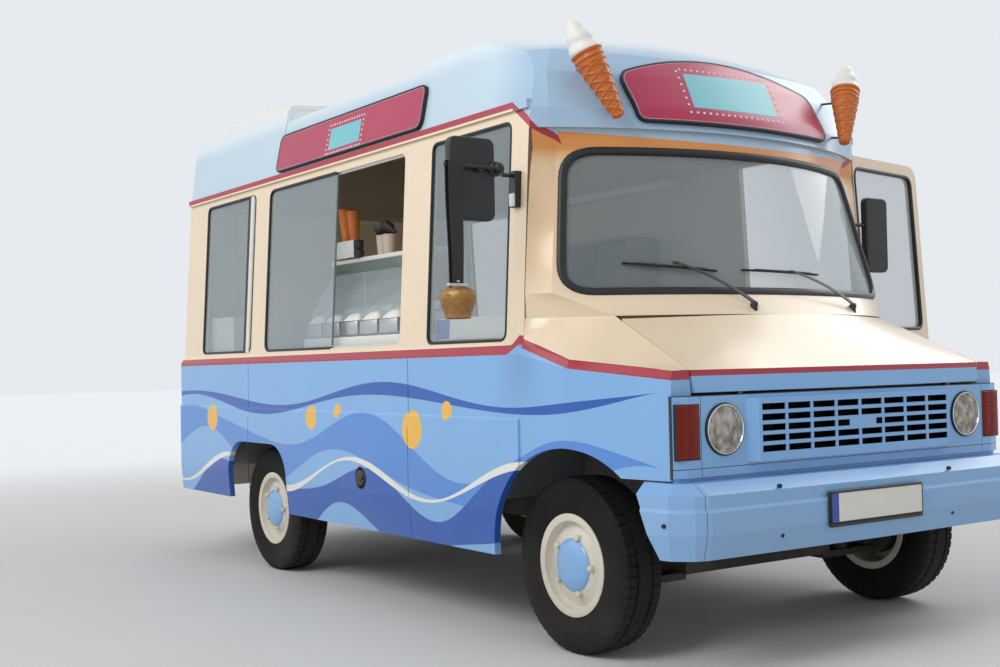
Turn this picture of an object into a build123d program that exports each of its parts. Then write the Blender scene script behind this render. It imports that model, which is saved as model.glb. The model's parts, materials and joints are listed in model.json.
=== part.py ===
from build123d import *
import os
from math import sqrt

# Ice cream truck: a light van chassis with a low nose and a coachbuilt serving body.
# Millimetres. The truck is drawn with x = 0 at the front axle, +X forward, y = 0 on the centre
# plane, +Y to its left and z = 0 on the ground. Spans are written (low, high).

# The box that the truck fills, with its door open, is centred on the frame's origin
FRAME_X = -1598.0
FRAME_Y = 158.0

# Depth by which fused pieces enter each other, the reach of cutters, and the gap of running seats
FUSE = 1.0
CUT = 10.0
SEAT = 0.3

# Wheels
WHEELBASE = 2692.0
TYRE_R = 338.0
TYRE_W = 195.0
WHEEL_Y = 857.5
RIM_R = 178.0
RIM_FLANGE = 18.0
HUB_CAP_R = 92.0
HUB_R = 78.0
HUB_W = 26.0
DRUM_R = 128.0
AXLE_R = 44.0

# Frame rails: y span, z span, rise over the rear axle
RAIL_Y = (395.0, 455.0)
RAIL_Z = (400.0, 520.0)
RAIL_RISE = 39.0
RAIL_FRONT = 500.0
RAIL_REAR = 45.0
JACK_PAD_X = (-1340.0, -1240.0)
JACK_PAD = 12.0
TOW_HOLE_X = 410.0
TOW_HOLE_Z = 478.0
TOW_HOLE_R = 16.0

# Body shell: half widths and heights of its side section
WALL = 30.0
REAR_OVERHANG = 1123.0
REAR_X = -WHEELBASE - REAR_OVERHANG
POST_X = -188.0
LOWER_Y = 1045.0
PANEL_IN = 8.0
WAIST_IN = 35.0
CANT_IN = 90.0
SKIRT_IN = 15.0
PANEL_Y = LOWER_Y - PANEL_IN
WAIST_Y = LOWER_Y - WAIST_IN
CANT_Y = LOWER_Y - CANT_IN
SKIRT_Y = LOWER_Y - SKIRT_IN
SKIRT_Z = 345.0
REAR_SKIRT_Z = 380.0
CREASE_Z = 525.0
SWAGE_Z = 890.0
SWAGE_STEP = 10.0
WAIST_LOW_Z = 1150.0
WAIST_Z = 1195.0
CANT_Z = 2130.0
SIDE_LINE = (
    (SKIRT_Y, SKIRT_Z), (LOWER_Y, CREASE_Z), (LOWER_Y, SWAGE_Z), (PANEL_Y, SWAGE_Z + SWAGE_STEP),
    (PANEL_Y, WAIST_LOW_Z), (WAIST_Y, WAIST_Z), (CANT_Y, CANT_Z),
)
THROUGH = (LOWER_Y - 5 * WALL, LOWER_Y + WALL + CUT)

# Side windows, chained backwards from the front post: pillars and widths
WINDOW_SILL = 13.0
WINDOW_HEAD = 40.0
WINDOW_Z = (WAIST_Z + WINDOW_SILL, CANT_Z - WINDOW_HEAD)
WINDOW_R = 38.0
GLASS = 6.0
GLASS_SET = 8.0
FRONT_PILLAR = 122.0
CAB_WINDOW_W = 605.0
HATCH_PILLAR = 240.0
HATCH_W = 1470.0
SLIDING_PANE_W = 785.0
MIDDLE_PILLAR = 275.0
REAR_PILLAR = 295.0
CAB_WINDOW = (POST_X - FRONT_PILLAR - CAB_WINDOW_W, POST_X - FRONT_PILLAR)
HATCH = (CAB_WINDOW[0] - HATCH_PILLAR - HATCH_W, CAB_WINDOW[0] - HATCH_PILLAR)
REAR_WINDOW = (REAR_X + REAR_PILLAR, HATCH[0] - MIDDLE_PILLAR)
BACK_WINDOW_HALF = 620.0
BACK_WINDOW_R = 60.0

# Wheel arches: clearances round the tyres
FRONT_ARCH_SHIFT = 60.0
FRONT_ARCH_RISE = 7.0
FRONT_ARCH_CLEAR = 107.0
REAR_ARCH_CLEAR = 47.0
REAR_ARCH_RISE = 29.0
REAR_ARCH_R = 190.0
REAR_ARCH_HALF = TYRE_R + REAR_ARCH_CLEAR
REAR_ARCH_TOP = 2 * TYRE_R + REAR_ARCH_RISE

# Floor, wheel boxes, wheel houses and the engine cover
FLOOR_Z = (560.0, 585.0)
BOX_WALL = 14.0
BOX_Y = 715.0
BOX_RISE = 84.0
BOX_TOP = 2 * TYRE_R + BOX_RISE
HOUSE_X = (-440.0, -6.0)
HOUSE_Y = (516.0, 975.0)
HOUSE_RISE = 154.0
HOUSE_TOP = 2 * TYRE_R + HOUSE_RISE
BULKHEAD_X = (-20.0, 2.0)
BULKHEAD_SIDE = 14.0
COVER_BACK = -560.0
COVER_HALF = 300.0
COVER_TOP = 985.0
COVER_R = 10.0

# Driver's door on the left side, drawn shut and then swung open
DOOR_W = 707.0
DOOR_FRONT_GAP = 10.0
DOOR_X = (POST_X - DOOR_FRONT_GAP - DOOR_W, POST_X - DOOR_FRONT_GAP)
DOOR_Z = (420.0, CANT_Z - 25.0)
DOOR_GAP = 6.0
DOOR_THICK = 34.0
DOOR_FRAME_X = (62.0, 60.0)
DOOR_FRAME_Z = (55.0, 60.0)
DOOR_WINDOW_X = (DOOR_X[0] + DOOR_FRAME_X[0], DOOR_X[1] - DOOR_FRAME_X[1])
DOOR_WINDOW_Z = (WAIST_Z + DOOR_FRAME_Z[0], DOOR_Z[1] - DOOR_FRAME_Z[1])
DOOR_WINDOW_R = 55.0
DOOR_GLASS_SET = 12.0
DOOR_R = 70.0
DOOR_OPEN = 79.0
HINGE_X = POST_X - 3.0
HINGE_Y = LOWER_Y + 8.0
HINGE_R = 7.0
HINGE_HALF = 35.0
HINGE_LEAF = (60.0, 30.0)
HINGE_Z = (790.0, 1105.0)
LUG = 20.0

# Nose: cowl, bonnet, wings and front panel
COWL_Z = 1290.0
COWL_X = 328.0
COWL_CORNER = (92.0, 774.0)
COWL_SHELF = 12.0
BONNET_GAP = 7.0
BONNET_SKIN = 20.0
BONNET_FRONT_X = (583.0, 560.0)
BONNET_FRONT_Y = 824.0
BONNET_FRONT_Z = 1078.0
BONNET_LIP_Z = 998.0
BONNET_LIP_OUT = 12.0
BONNET_SIDE_CUT = 60.0
WING_BOTTOM_Z = 692.0
WING_WALL = 22.0
NOSE_X = 560.0
PANEL_DEEP = 30.0
PANEL_X = (NOSE_X, NOSE_X + PANEL_DEEP)
PANEL_HALF = 930.0
PANEL_TOP_GAP = 10.0
PANEL_Z = (700.0, BONNET_LIP_Z - PANEL_TOP_GAP)
PANEL_ROUND = (18.0, 60.0)
BUFFER_X = (5.0, 20.0)
BUFFER_Y = (588.0, 612.0)
GRILLE_HALF = 540.0
GRILLE_Z = (768.0, 958.0)
GRILLE_DEEP = 32.0
GRILLE_EDGE = (46.0, 8.0, 26.0, 14.0)
GRILLE_ROWS = 5
GRILLE_COLUMNS = 8
SLOT_SHARE = 0.63
SLOT_GAP_Y = 14.0
WELL_FLOOR = 8.0
LAMP_IN = 237.0
LAMP_Y = PANEL_HALF - LAMP_IN
LAMP_Z = 865.0
LAMP_R = 95.0
INDICATOR_IN = (118.0, 8.0)
INDICATOR_Y = (PANEL_HALF - INDICATOR_IN[0], PANEL_HALF - INDICATOR_IN[1])
INDICATOR_Z = (762.0, 959.0)
INDICATOR_OUT = 6.0

# Front bumper in plan, from the centre outwards, with the direction in which each point is set back
BUMPER_PLAN = ((716.0, 0.0), (704.0, 872.0), (684.0, 930.0), (618.0, 996.0), (440.0, 1006.0))
BUMPER_NORMALS = ((1.0, 0.0), (1.0, 0.1), (0.85, 0.5), (0.5, 0.85), (0.0, 1.0))
BUMPER_THICK = 26.0
# Its levels: height, set back from the outermost face, and how far the ends move forward
BUMPER_LEVELS = (
    (686.0, 62.0, 0.0), (648.0, 8.0, 16.0), (602.0, 8.0, 36.0), (590.0, 0.0, 42.0), (512.0, 0.0, 78.0),
    (425.0, 22.0, 118.0),
)
BUMPER_END_CUT = 80.0
BUMPER_IRON_Z = (470.0, 512.0)
BUMPER_IRON_IN = 19.0

# Number plates: width, height, thickness; holder's rim; places
PLATE = (520.0, 110.0, 4.0)
PLATE_HOLDER = (6.0, 12.0, 8.0)
PLATE_AT = (-35.0, 561.0)
REAR_PLATE_Z = 700.0

# Windscreen surround: height, centre x, corner x, corner y, back y
SURROUND = (
    (COWL_Z, COWL_X, COWL_CORNER[0], COWL_CORNER[1], 998.0),
    (1385.0, 232.0, -66.0, 958.0, 1000.0),
    (1965.0, 84.0, -168.0, 842.0, 966.0),
    (2050.0, 60.0, -158.0, 866.0, 960.0),
)
SURROUND_WALL = 30.0
SCREEN_Z = (SURROUND[1][0] - 1.0, SURROUND[2][0] - 1.0)
SCREEN_HALF = (SURROUND[1][2 + 1] - 26.0, SURROUND[2][2 + 1] - 20.0)
SCREEN_R = 95.0
SCREEN_SET = 9.0

# Wings: station x, then the section's (y, z) corners from the arch up and over the shoulder
WING_ROWS = (
    (POST_X, ((PANEL_Y, WING_BOTTOM_Z), (PANEL_Y, WAIST_LOW_Z), (WAIST_Y, WAIST_Z), (SURROUND[0][4], COWL_Z),
              (958.0, WING_BOTTOM_Z))),
    (COWL_CORNER[0], ((1008.0, WING_BOTTOM_Z), (1012.0, 1092.0), (1004.0, 1122.0), (COWL_CORNER[1], COWL_Z),
                      (744.0, WING_BOTTOM_Z))),
    (NOSE_X, ((PANEL_HALF, WING_BOTTOM_Z), (916.0, 1050.0), (908.0, BONNET_FRONT_Z), (830.0, BONNET_FRONT_Z),
              (800.0, WING_BOTTOM_Z))),
)

# Stations of the roof: x, shoulder height, crown height, side y at the shoulder
ROOF_WALL = 22.0
GUTTER_Z = (CANT_Z, CANT_Z + 36.0)
GUTTER_OUT = 14.0
GUTTER_IN = 8.0
SIGN_OVERHANG = 80.0
MIDDLE_X = (HATCH[0] + SIGN_OVERHANG, HATCH[1] + SIGN_OVERHANG)
ROOF_ROWS = (
    ("rear", ((REAR_X, 2500.0, 2560.0, 905.0), (REAR_X + 95.0, 2555.0, 2615.0, 885.0),
              (MIDDLE_X[0] - 255.0, 2578.0, 2640.0, 875.0), (MIDDLE_X[0], 2530.0, 2600.0, 880.0))),
    ("middle", ((MIDDLE_X[0], 2452.0, 2520.0, 890.0), (MIDDLE_X[1], 2440.0, 2520.0, 890.0))),
    ("dome", ((MIDDLE_X[1], 2480.0, 2575.0, 885.0), (-700.0, 2490.0, 2590.0, 870.0), (POST_X, 2370.0, 2472.0, 862.0))),
    ("front", ((POST_X, 2370.0, 2472.0, 862.0), (200.0, 2270.0, 2372.0, 855.0))),
)
# Raked front in plan at each height: z, centre x, corner x, corner y, and the slope of the flank behind it
FRONT_ROWS = (
    (SURROUND[3][0], 78.0, -140.0, 884.0, 1.75),
    (CANT_Z, 44.0, -140.0, 896.0, 1.4),
    (2290.0, -66.0, -195.0, 860.0, 1.0),
    (2400.0, -150.0, -262.0, 790.0, 1.1),
    (2456.0, -232.0, -330.0, 600.0, 1.5),
    (2560.0, -450.0, -520.0, 300.0, 2.0),
    (2720.0, -900.0, -970.0, 300.0, 2.0),
)
BROW_Z = FRONT_ROWS[0][0]
BROW_LEAN = (SURROUND[3][4] - CANT_Y) / (CANT_Z - SURROUND[3][0])
FLANK_Y = 1500.0
SHOULDER = ((4.0, -18.0), (-10.0, 14.0), (-46.0, 34.0))

# Front axle: kingpin, arms, springs and cross members
KINGPIN_Y = 742.0
KINGPIN_R = 28.0
UPRIGHT = (64.0, 58.0)
UPRIGHT_DOWN = 78.0
UPRIGHT_UP = 94.0
UPRIGHT_END = 8.0
STUB_R = 30.0
STUB_ROOT = (62.0, 66.0)
DRUM_OUT = (40.0, 96.0)
STEER_ARM = (150.0, 22.0, 22.0)
ARM_THICK = 28.0
ARM_HALF = (58.0, 45.0)
ARM_END = 22.0
SPRING_Y = 560.0
SPRING_R = 48.0
CROSS_HALF = 80.0
CROSS_Z = (255.0, 345.0)

# Rear axle: differential, leaf springs and their hangers
DIFF_R = 150.0
REAR_DRUM_Y = (745.0, 800.0)
SPRING_HALF = (620.0, 590.0)
SPRING_DROP = 22.0
LEAF = 16.0
PACK = 36.0
HANGER_W = 50.0

# Engine, gearbox and driveline
ENGINE = ((-200.0, 360.0), (-210.0, 210.0), (410.0, 900.0))
GEARBOX = ((-540.0, ENGINE[0][0]), (-150.0, 150.0), (430.0, 700.0))
GEAR_TAIL = ((-1000.0, GEARBOX[0][0]), (-110.0, 110.0), (RAIL_Z[0], FLOOR_Z[0] - 5.0))
ENGINE_MOUNT = ((62.0, 118.0), (450.0, 480.0))
SHAFT_R = 30.0
SHAFT_Z = (462.0, TYRE_R + 8.0)

# Exhaust on the left and fuel tank on the right, hung from the floor
EXHAUST_Y = 620.0
EXHAUST_Z = 440.0
PIPE_R = 22.0
SILENCER_R = 70.0
PIPE_X = (-2200.0, -700.0)
SILENCER_X = (-1500.0, -1050.0)
PIPE_HANGER_X = (-1800.0, -800.0)
PIPE_HANGER = 24.0
TANK = ((-2050.0, -1350.0), (-900.0, -520.0), (370.0, 545.0))
TANK_R = 40.0
TANK_STRAP_IN = 100.0
TANK_STRAP = 40.0

# Serving area
COUNTER_DROP = 6.0
COUNTER_THICK = 30.0
COUNTER_OVER = (75.0, 35.0)
COUNTER_BACK_Y = 560.0
CUPBOARD_IN = 40.0
CUPBOARD_Y = (600.0, 925.0)
UNIT_GAP = 5.0
MACHINE_X = (115.0, 615.0)
MACHINE_HALF = 945.0
MACHINE_Z = 1420.0
LEFT_UNIT_Y = (COUNTER_BACK_Y, 925.0)
LEFT_UNIT_Z = 1180.0

# Cab
SEAT_Y = 560.0
SEAT_BASE = ((-900.0, -560.0), 180.0, 275.0)
CUSHION = ((-930.0, -480.0), 230.0, 100.0)
CUSHION_R = 30.0
BACK_REST = (110.0, 600.0, 110.0, 220.0)
BACK_REST_R = 25.0
DASH_HALF = 800.0
DASH_DEEP = 230.0
DASH_Z = (1060.0, 1240.0)
DASH_R = 40.0
COLUMN_AT = (-395.0, 470.0, 1250.0)
COLUMN_TILT = -38.0
COLUMN_LENGTH = 260.0
COLUMN_R = 26.0
STEERING_R = 205.0
STEERING_RIM = 13.0
STEERING_HUB = (42.0, 40.0)
STEERING_LIFT = 16.0
SPOKE = (26.0, 8.0)

# Roof cones: foot, tip of the swirl, greatest radius, brackets (height, reach back into the skin)
CONE_FOOT = (20.0, 665.0, 2080.0)
CONE_TIP = (-95.0, 818.0, 2475.0)
CONE_R = 68.0
CONE_BRACKETS = ((2120.0, -65.0), (2300.0, -177.0))
CONE_BRACKET_HALF = 11.0

# Sign panels: margins from the hatch's ends, z span, corner radius, thickness
SIDE_SIGN_X = (HATCH[0] + 75.0, HATCH[1] + 135.0)
SIDE_SIGN_Z = (CANT_Z + 48.0, CANT_Z + 254.0)
SIGN_R = 48.0
SIGN_THICK = 18.0
SIGN_SINK = 2.0
# Front sign, seen from ahead: half widths at its foot and shoulder, heights of foot, shoulder and crown
FRONT_SIGN_HALF = (548.0, 562.0)
FRONT_SIGN_Z = (2076.0, 2286.0, 2390.0)
FRONT_SIGN_R = 42.0
FRONT_SIGN_THICK = 20.0

# Mirrors: head x, y and z spans on the right side, then on the left
MIRROR_RIGHT = ((-168.0, -134.0), (1164.0, 1368.0), (1660.0, 1978.0))
MIRROR_LEFT = ((-168.0, -134.0), (990.0, 1143.0), (1515.0, 1874.0))
MIRROR_R = (30.0, 9.0)
# Arm of the right mirror: its height, rod radius, bends in plan and foot on the post
ARM_Z = 1862.0
ARM_R = 8.0
ARM_PATH = ((-250.0, 990.0), (-250.0, 1052.0), (-112.0, 1148.0), (-112.0, 1404.0))
ARM_PAD = ((-270.0, -230.0), (958.0, 1004.0), (1735.0, 1880.0))
LEFT_ROD_Z = (1585.0, 1740.0)
LEFT_ROD_R = 9.0
LEFT_ROD_START = 20.0

# Bell: its rim, height, and the strap over the right mirror's arm
BELL_Y = -1366.0
BELL_X = ARM_PATH[-1][0] + ARM_R
BELL_Z = (1285.0, 1410.0)
BELL_R = 70.0
STRAP_HALF = 38.0
STRAP_THICK = 5.0

# Wiper spindles, tail lamps and rear bumper
WIPER_AT = ((290.0, -215.0), (242.0, 430.0))
WIPER_R = 10.0
WIPER_H = 46.0
TAIL_LAMP = (28.0, (850.0, 960.0), (760.0, 1010.0))
TAIL_LAMP_R = 6.0
REAR_BUMPER = ((110.0, 30.0), 960.0, (430.0, 520.0))
REAR_BUMPER_R = 20.0
REAR_BRACKET_Z = (450.0, 500.0)


def block(x, y, z):
    """A box from three spans."""
    size = [span[1] - span[0] for span in (x, y, z)]
    middle = [(span[0] + span[1]) / 2 for span in (x, y, z)]
    return Pos(*middle) * Box(*size)


def flip(side, span):
    """A span of y on the left (side 1) or mirrored to the right (side -1)."""
    return tuple(sorted((side * span[0], side * span[1])))


def prism_x(points, x):
    """A (y, z) outline carried along x."""
    face = Plane.YZ * make_face(Polyline(*points, close=True))
    return Pos(x[0], 0, 0) * extrude(face, amount=x[1] - x[0], dir=(1, 0, 0))


def prism_y(points, y):
    """An (x, z) outline carried along y."""
    face = Plane.XZ * make_face(Polyline(*points, close=True))
    return Pos(0, y[0], 0) * extrude(face, amount=y[1] - y[0], dir=(0, 1, 0))


def prism_z(points, z):
    """An (x, y) outline carried along z."""
    face = make_face(Polyline(*points, close=True))
    return Pos(0, 0, z[0]) * extrude(face, amount=z[1] - z[0])


def pane_y(x, z, r, y):
    """A rounded rectangle in x and z, carried along y."""
    face = Plane.XZ * RectangleRounded(x[1] - x[0], z[1] - z[0], r)
    sheet = extrude(face, amount=y[1] - y[0], dir=(0, 1, 0))
    return Pos((x[0] + x[1]) / 2, y[0], (z[0] + z[1]) / 2) * sheet


def disc_y(x, z, r, y):
    """A cylinder whose axis lies along y."""
    return Pos(x, (y[0] + y[1]) / 2, z) * Rot(90, 0, 0) * Cylinder(r, y[1] - y[0])


def disc_x(y, z, r, x):
    """A cylinder whose axis lies along x."""
    return Pos((x[0] + x[1]) / 2, y, z) * Rot(0, 90, 0) * Cylinder(r, x[1] - x[0])


def disc_z(x, y, r, z):
    """A cylinder whose axis is upright."""
    return Pos(x, y, (z[0] + z[1]) / 2) * Cylinder(r, z[1] - z[0])


def mirrored(piece):
    """The piece's mirror image across the centre plane."""
    return mirror(piece, Plane.XZ)


def both(piece):
    """A piece and its mirror image."""
    return Compound([piece, mirrored(piece)])


def turned(profile, axis, plane):
    """A closed profile turned about an axis of its plane."""
    return revolve(plane * make_face(Polyline(*profile, close=True)), axis)


def stacked(faces):
    """A solid of ruled bands from face to face."""
    solid = None
    for low, high in zip(faces, faces[1:]):
        band = loft([low, high], ruled=True)
        solid = band if solid is None else solid + band
    return solid


def write(name, piece):
    """Write one piece, moved into the shared frame."""
    export_step(Pos(-FRAME_X, -FRAME_Y, 0) * piece, f"parts/{name}.step")


# Side walls
def side_point(z):
    """The point of the side line at one height."""
    for (y0, z0), (y1, z1) in zip(SIDE_LINE, SIDE_LINE[1:]):
        if z0 <= z <= z1:
            return (y0 + (y1 - y0) * (z - z0) / (z1 - z0), z)
    return SIDE_LINE[-1]


def side_outline(low, high):
    """The side line between two heights."""
    return [side_point(low)] + [p for p in SIDE_LINE if low < p[1] < high] + [side_point(high)]


def side_wall(x, low, high, thick=WALL):
    """A stretch of the left wall."""
    outer = side_outline(low, high)
    return prism_x(outer + [(y - thick, z) for y, z in reversed(outer)], x)


def front_arch(y):
    """The space of the front wheel arch."""
    z = TYRE_R + FRONT_ARCH_RISE
    r = TYRE_R + FRONT_ARCH_CLEAR
    return disc_y(FRONT_ARCH_SHIFT, z, r, y) + block((FRONT_ARCH_SHIFT - r, FRONT_ARCH_SHIFT + r), y, (0, z))


def rear_arch(y):
    """The space of the rear wheel arch, flat across its top."""
    x = (-WHEELBASE - REAR_ARCH_HALF, -WHEELBASE + REAR_ARCH_HALF)
    return pane_y(x, (CUT, REAR_ARCH_TOP), REAR_ARCH_R, y)


def plain_side():
    """The left wall with its arches cut, without windows."""
    wall = side_wall((REAR_X, POST_X), SKIRT_Z, CANT_Z)
    wall -= block((REAR_X - CUT, -WHEELBASE - REAR_ARCH_HALF + REAR_ARCH_RISE), THROUGH, (0, REAR_SKIRT_Z))
    return wall - rear_arch(THROUGH) - front_arch(THROUGH)


def window(x, z=WINDOW_Z, r=WINDOW_R):
    """The cutter of one side window."""
    return pane_y(x, z, r, THROUGH)


def window_glass(x, z=WINDOW_Z, r=WINDOW_R, inset=GLASS_SET):
    """A pane that fills a window of the leaning band, set in from its outside."""
    sheet = Pos(0, -inset, 0) * side_wall((x[0] - FUSE, x[1] + FUSE), WAIST_Z, CANT_Z, GLASS)
    return sheet & window(x, z, r)


def make_side_wall_right():
    """The right wall with the rear window, the serving hatch and the cab window."""
    wall = plain_side()
    for x in (REAR_WINDOW, HATCH, CAB_WINDOW):
        wall -= window(x)
    return mirrored(wall)


def make_side_wall_left():
    """The left wall with its rear window, cut away for the driver's door."""
    wall = plain_side() - window(REAR_WINDOW)
    return wall - block((DOOR_X[0] - DOOR_GAP, POST_X + FUSE), THROUGH, (DOOR_Z[0] - DOOR_GAP, DOOR_Z[1] + DOOR_GAP))


def make_rear_wall():
    """The rear wall between the side walls with one wide window, and the cutter of that window."""
    half = [(y - WALL, z) for y, z in side_outline(REAR_SKIRT_Z, CANT_Z)]
    wall = prism_x(half + [(-y, z) for y, z in reversed(half)], (REAR_X, REAR_X + WALL))
    face = Plane.YZ * RectangleRounded(2 * BACK_WINDOW_HALF, WINDOW_Z[1] - WINDOW_Z[0], BACK_WINDOW_R)
    place = Pos(REAR_X - CUT, 0, (WINDOW_Z[0] + WINDOW_Z[1]) / 2)
    hole = place * extrude(face, amount=WALL + 2 * CUT, dir=(1, 0, 0))
    return wall - hole, hole


def make_body_glass(back_hole):
    """Side panes, the sliding pane of the hatch and the rear wall's window."""
    sliding = (HATCH[0], HATCH[0] + SLIDING_PANE_W)
    right = [window_glass(REAR_WINDOW), window_glass(CAB_WINDOW), window_glass(HATCH) & block(sliding, THROUGH, (0, CANT_Z))]
    panes = [mirrored(pane) for pane in right]
    panes.append(window_glass(REAR_WINDOW))
    back = (REAR_X + GLASS_SET, REAR_X + GLASS_SET + GLASS)
    panes.append(block(back, (-LOWER_Y, LOWER_Y), (0, CANT_Z)) & back_hole)
    return Compound(panes)


# Cab front
def surround_face(row, inset):
    """One level of the windscreen surround in plan, set in by a wall."""
    z, centre, corner_x, corner_y, back_y = row
    back = (POST_X - (WALL + CUT if inset else 0), back_y - inset)
    corner = (corner_x - inset * 0.5, corner_y - inset * 0.75)
    arc = ThreePointArc(corner, (centre - inset, 0), (corner[0], -corner[1]))
    rest = Polyline((corner[0], -corner[1]), (back[0], -back[1]), back, corner)
    return Pos(0, 0, z) * make_face(arc + rest)


def surround_solid(inset):
    """The whole front of the cab, as a solid of three ruled bands."""
    return stacked([surround_face(row, inset) for row in SURROUND])


def surround_y(x, z):
    """Half width of the surround's side at one station and height."""
    low, high = SURROUND[1], SURROUND[2]
    part = (z - low[0]) / (high[0] - low[0])
    corner_x, corner_y, back_y = (low[i] + part * (high[i] - low[i]) for i in (2, 3, 4))
    return back_y + (corner_y - back_y) * (x - POST_X) / (corner_x - POST_X)


def screen_cutter():
    """The windscreen's outline, carried along x."""
    z0, z1 = SCREEN_Z
    low, high = SCREEN_HALF
    face = make_face(Polyline((-low, z0), (low, z0), (high, z1), (-high, z1), close=True))
    face = fillet(face.vertices(), SCREEN_R)
    return Pos(2 * POST_X, 0, 0) * extrude(Plane.YZ * face, amount=COWL_X - 3 * POST_X, dir=(1, 0, 0))


def make_cab_front():
    """Windscreen surround, cowl shelf and bulkhead."""
    whole = surround_solid(0)
    shell = whole - surround_solid(SURROUND_WALL) - screen_cutter()
    shelf = whole & block((BULKHEAD_X[0], COWL_X + CUT), (-LOWER_Y, LOWER_Y), (COWL_Z, COWL_Z + COWL_SHELF))
    half = COWL_CORNER[1] - BULKHEAD_SIDE
    foot = HOUSE_Y[0] + BOX_WALL
    bulkhead = block(BULKHEAD_X, (-half, half), (HOUSE_TOP - BOX_WALL, COWL_Z + FUSE))
    bulkhead += block(BULKHEAD_X, (-foot, foot), (FLOOR_Z[0], HOUSE_TOP))
    bulkhead -= block((BULKHEAD_X[0] - CUT, BULKHEAD_X[1] + CUT), (-COVER_HALF, COVER_HALF), (0, COVER_TOP))
    return shell + shelf + bulkhead


def make_windscreen():
    """The curved glass, set into the surround's opening."""
    return (surround_solid(SCREEN_SET) - surround_solid(SCREEN_SET + GLASS)) & screen_cutter()


def make_floor():
    """Body floor, cut out under the rear wheel boxes and the engine cover and set back at the doorway."""
    half = LOWER_Y - WALL
    low, top = FLOOR_Z
    floor = block((REAR_X + WALL, HOUSE_X[0] + BOX_WALL), (-half, half), FLOOR_Z)
    floor += block((HOUSE_X[0], BULKHEAD_X[0]), (-HOUSE_Y[0] - BOX_WALL, HOUSE_Y[0] + BOX_WALL), FLOOR_Z)
    for side in (-1, 1):
        floor -= block((-WHEELBASE - REAR_ARCH_HALF, -WHEELBASE + REAR_ARCH_HALF), flip(side, (BOX_Y + BOX_WALL, half + FUSE)),
                       (low - FUSE, top + FUSE))
    floor -= block((COVER_BACK + BOX_WALL, CUT), (BOX_WALL - COVER_HALF, COVER_HALF - BOX_WALL), (low - FUSE, top + FUSE))
    return floor - block((DOOR_X[0] - DOOR_GAP, CUT), (LOWER_Y - DOOR_THICK - DOOR_GAP, LOWER_Y), (low - FUSE, top + FUSE))


def make_wheel_boxes():
    """Boxes over the rear wheels and houses behind the front wheels, standing on the floor."""
    half = LOWER_Y - WALL
    reach = REAR_ARCH_HALF + BOX_WALL
    boxes = []
    for side in (-1, 1):
        box = block((-WHEELBASE - reach, -WHEELBASE + reach), flip(side, (BOX_Y, half)), (FLOOR_Z[1], BOX_TOP))
        box -= block((-WHEELBASE - REAR_ARCH_HALF, -WHEELBASE + REAR_ARCH_HALF), flip(side, (BOX_Y + BOX_WALL, half + FUSE)),
                     (FLOOR_Z[1] - FUSE, BOX_TOP - BOX_WALL))
        house = block((HOUSE_X[0], BULKHEAD_X[0]), flip(side, HOUSE_Y), (FLOOR_Z[1], HOUSE_TOP))
        house -= block((HOUSE_X[0] + BOX_WALL, CUT), flip(side, (HOUSE_Y[0] + BOX_WALL, LOWER_Y)),
                       (FLOOR_Z[1] - FUSE, HOUSE_TOP - BOX_WALL))
        boxes += [box, house]
    return Compound(boxes)


def make_engine_cover():
    """Cover over the engine, between the seats and the bulkhead."""
    cover = block((COVER_BACK, BULKHEAD_X[0]), (-COVER_HALF, COVER_HALF), (FLOOR_Z[1], COVER_TOP))
    cover -= block((COVER_BACK + BOX_WALL, CUT), (BOX_WALL - COVER_HALF, COVER_HALF - BOX_WALL),
                   (FLOOR_Z[1] - FUSE, COVER_TOP - BOX_WALL))
    return fillet(cover.edges().filter_by(Axis.X).group_by(Axis.Z)[-1], COVER_R)


# Nose
def section_face(x, points):
    """A (y, z) outline at one station."""
    return Pos(x, 0, 0) * (Plane.YZ * make_face(Polyline(*points, close=True)))


def make_wing():
    """The left front wing: outer side, shoulder and nose end."""
    t = WING_WALL
    inner_rows = []
    for (x, (a, b, c, d, e)), shift in zip(WING_ROWS, (-FUSE, 0.0, -t)):
        inner = ((a[0] - t, a[1] - FUSE), (b[0] - t, b[1] - t / 3), (c[0] - t, c[1] - t), (d[0] - 0.6 * t, d[1] - 1.2 * t),
                 (e[0] - 3 * t, e[1] - FUSE))
        inner_rows.append((x + shift, inner))
    wing = stacked([section_face(*row) for row in WING_ROWS]) - stacked([section_face(*row) for row in inner_rows])
    return wing - front_arch((WING_ROWS[1][1][4][0] - 2 * t, LOWER_Y + CUT))


def make_wings():
    """Both wings, the left one with the fixed lugs of the door's hinges."""
    left = make_wing()
    for z in HINGE_Z:
        for low in (z + HINGE_HALF + SEAT, z - HINGE_HALF - SEAT - LUG):
            left += disc_z(HINGE_X, HINGE_Y, HINGE_R, (low, low + LUG))
            left += block((HINGE_X, HINGE_X + HINGE_LEAF[0]), (PANEL_Y - WING_WALL / 2, HINGE_Y), (low, low + LUG))
    return Compound([left, mirrored(make_wing())])


def bonnet_solid(inset):
    """The wedge below the bonnet's outside, set in by its skin."""
    grow = 1.5 * inset
    front, corner = BONNET_FRONT_X
    levels = (
        (COWL_Z - inset * 1.1, COWL_X + BONNET_GAP - inset * 0.5, COWL_CORNER[0] + BONNET_GAP - inset * 0.5, COWL_CORNER[1]),
        (BONNET_FRONT_Z - inset * 0.3, front - inset, corner - inset, BONNET_FRONT_Y),
        (BONNET_LIP_Z - (FUSE if inset else 0), front + BONNET_LIP_OUT - inset, corner + BONNET_LIP_OUT - inset,
         BONNET_FRONT_Y - 10),
    )
    faces = []
    for z, centre, corner_x, corner_y in levels:
        half = corner_y + grow
        back = BONNET_SIDE_CUT - grow
        arc = ThreePointArc((corner_x, half), (centre, 0), (corner_x, -half))
        rest = Polyline((corner_x, -half), (back, -half), (back, half), (corner_x, half))
        faces.append(Pos(0, 0, z) * make_face(arc + rest))
    return stacked(faces)


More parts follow.
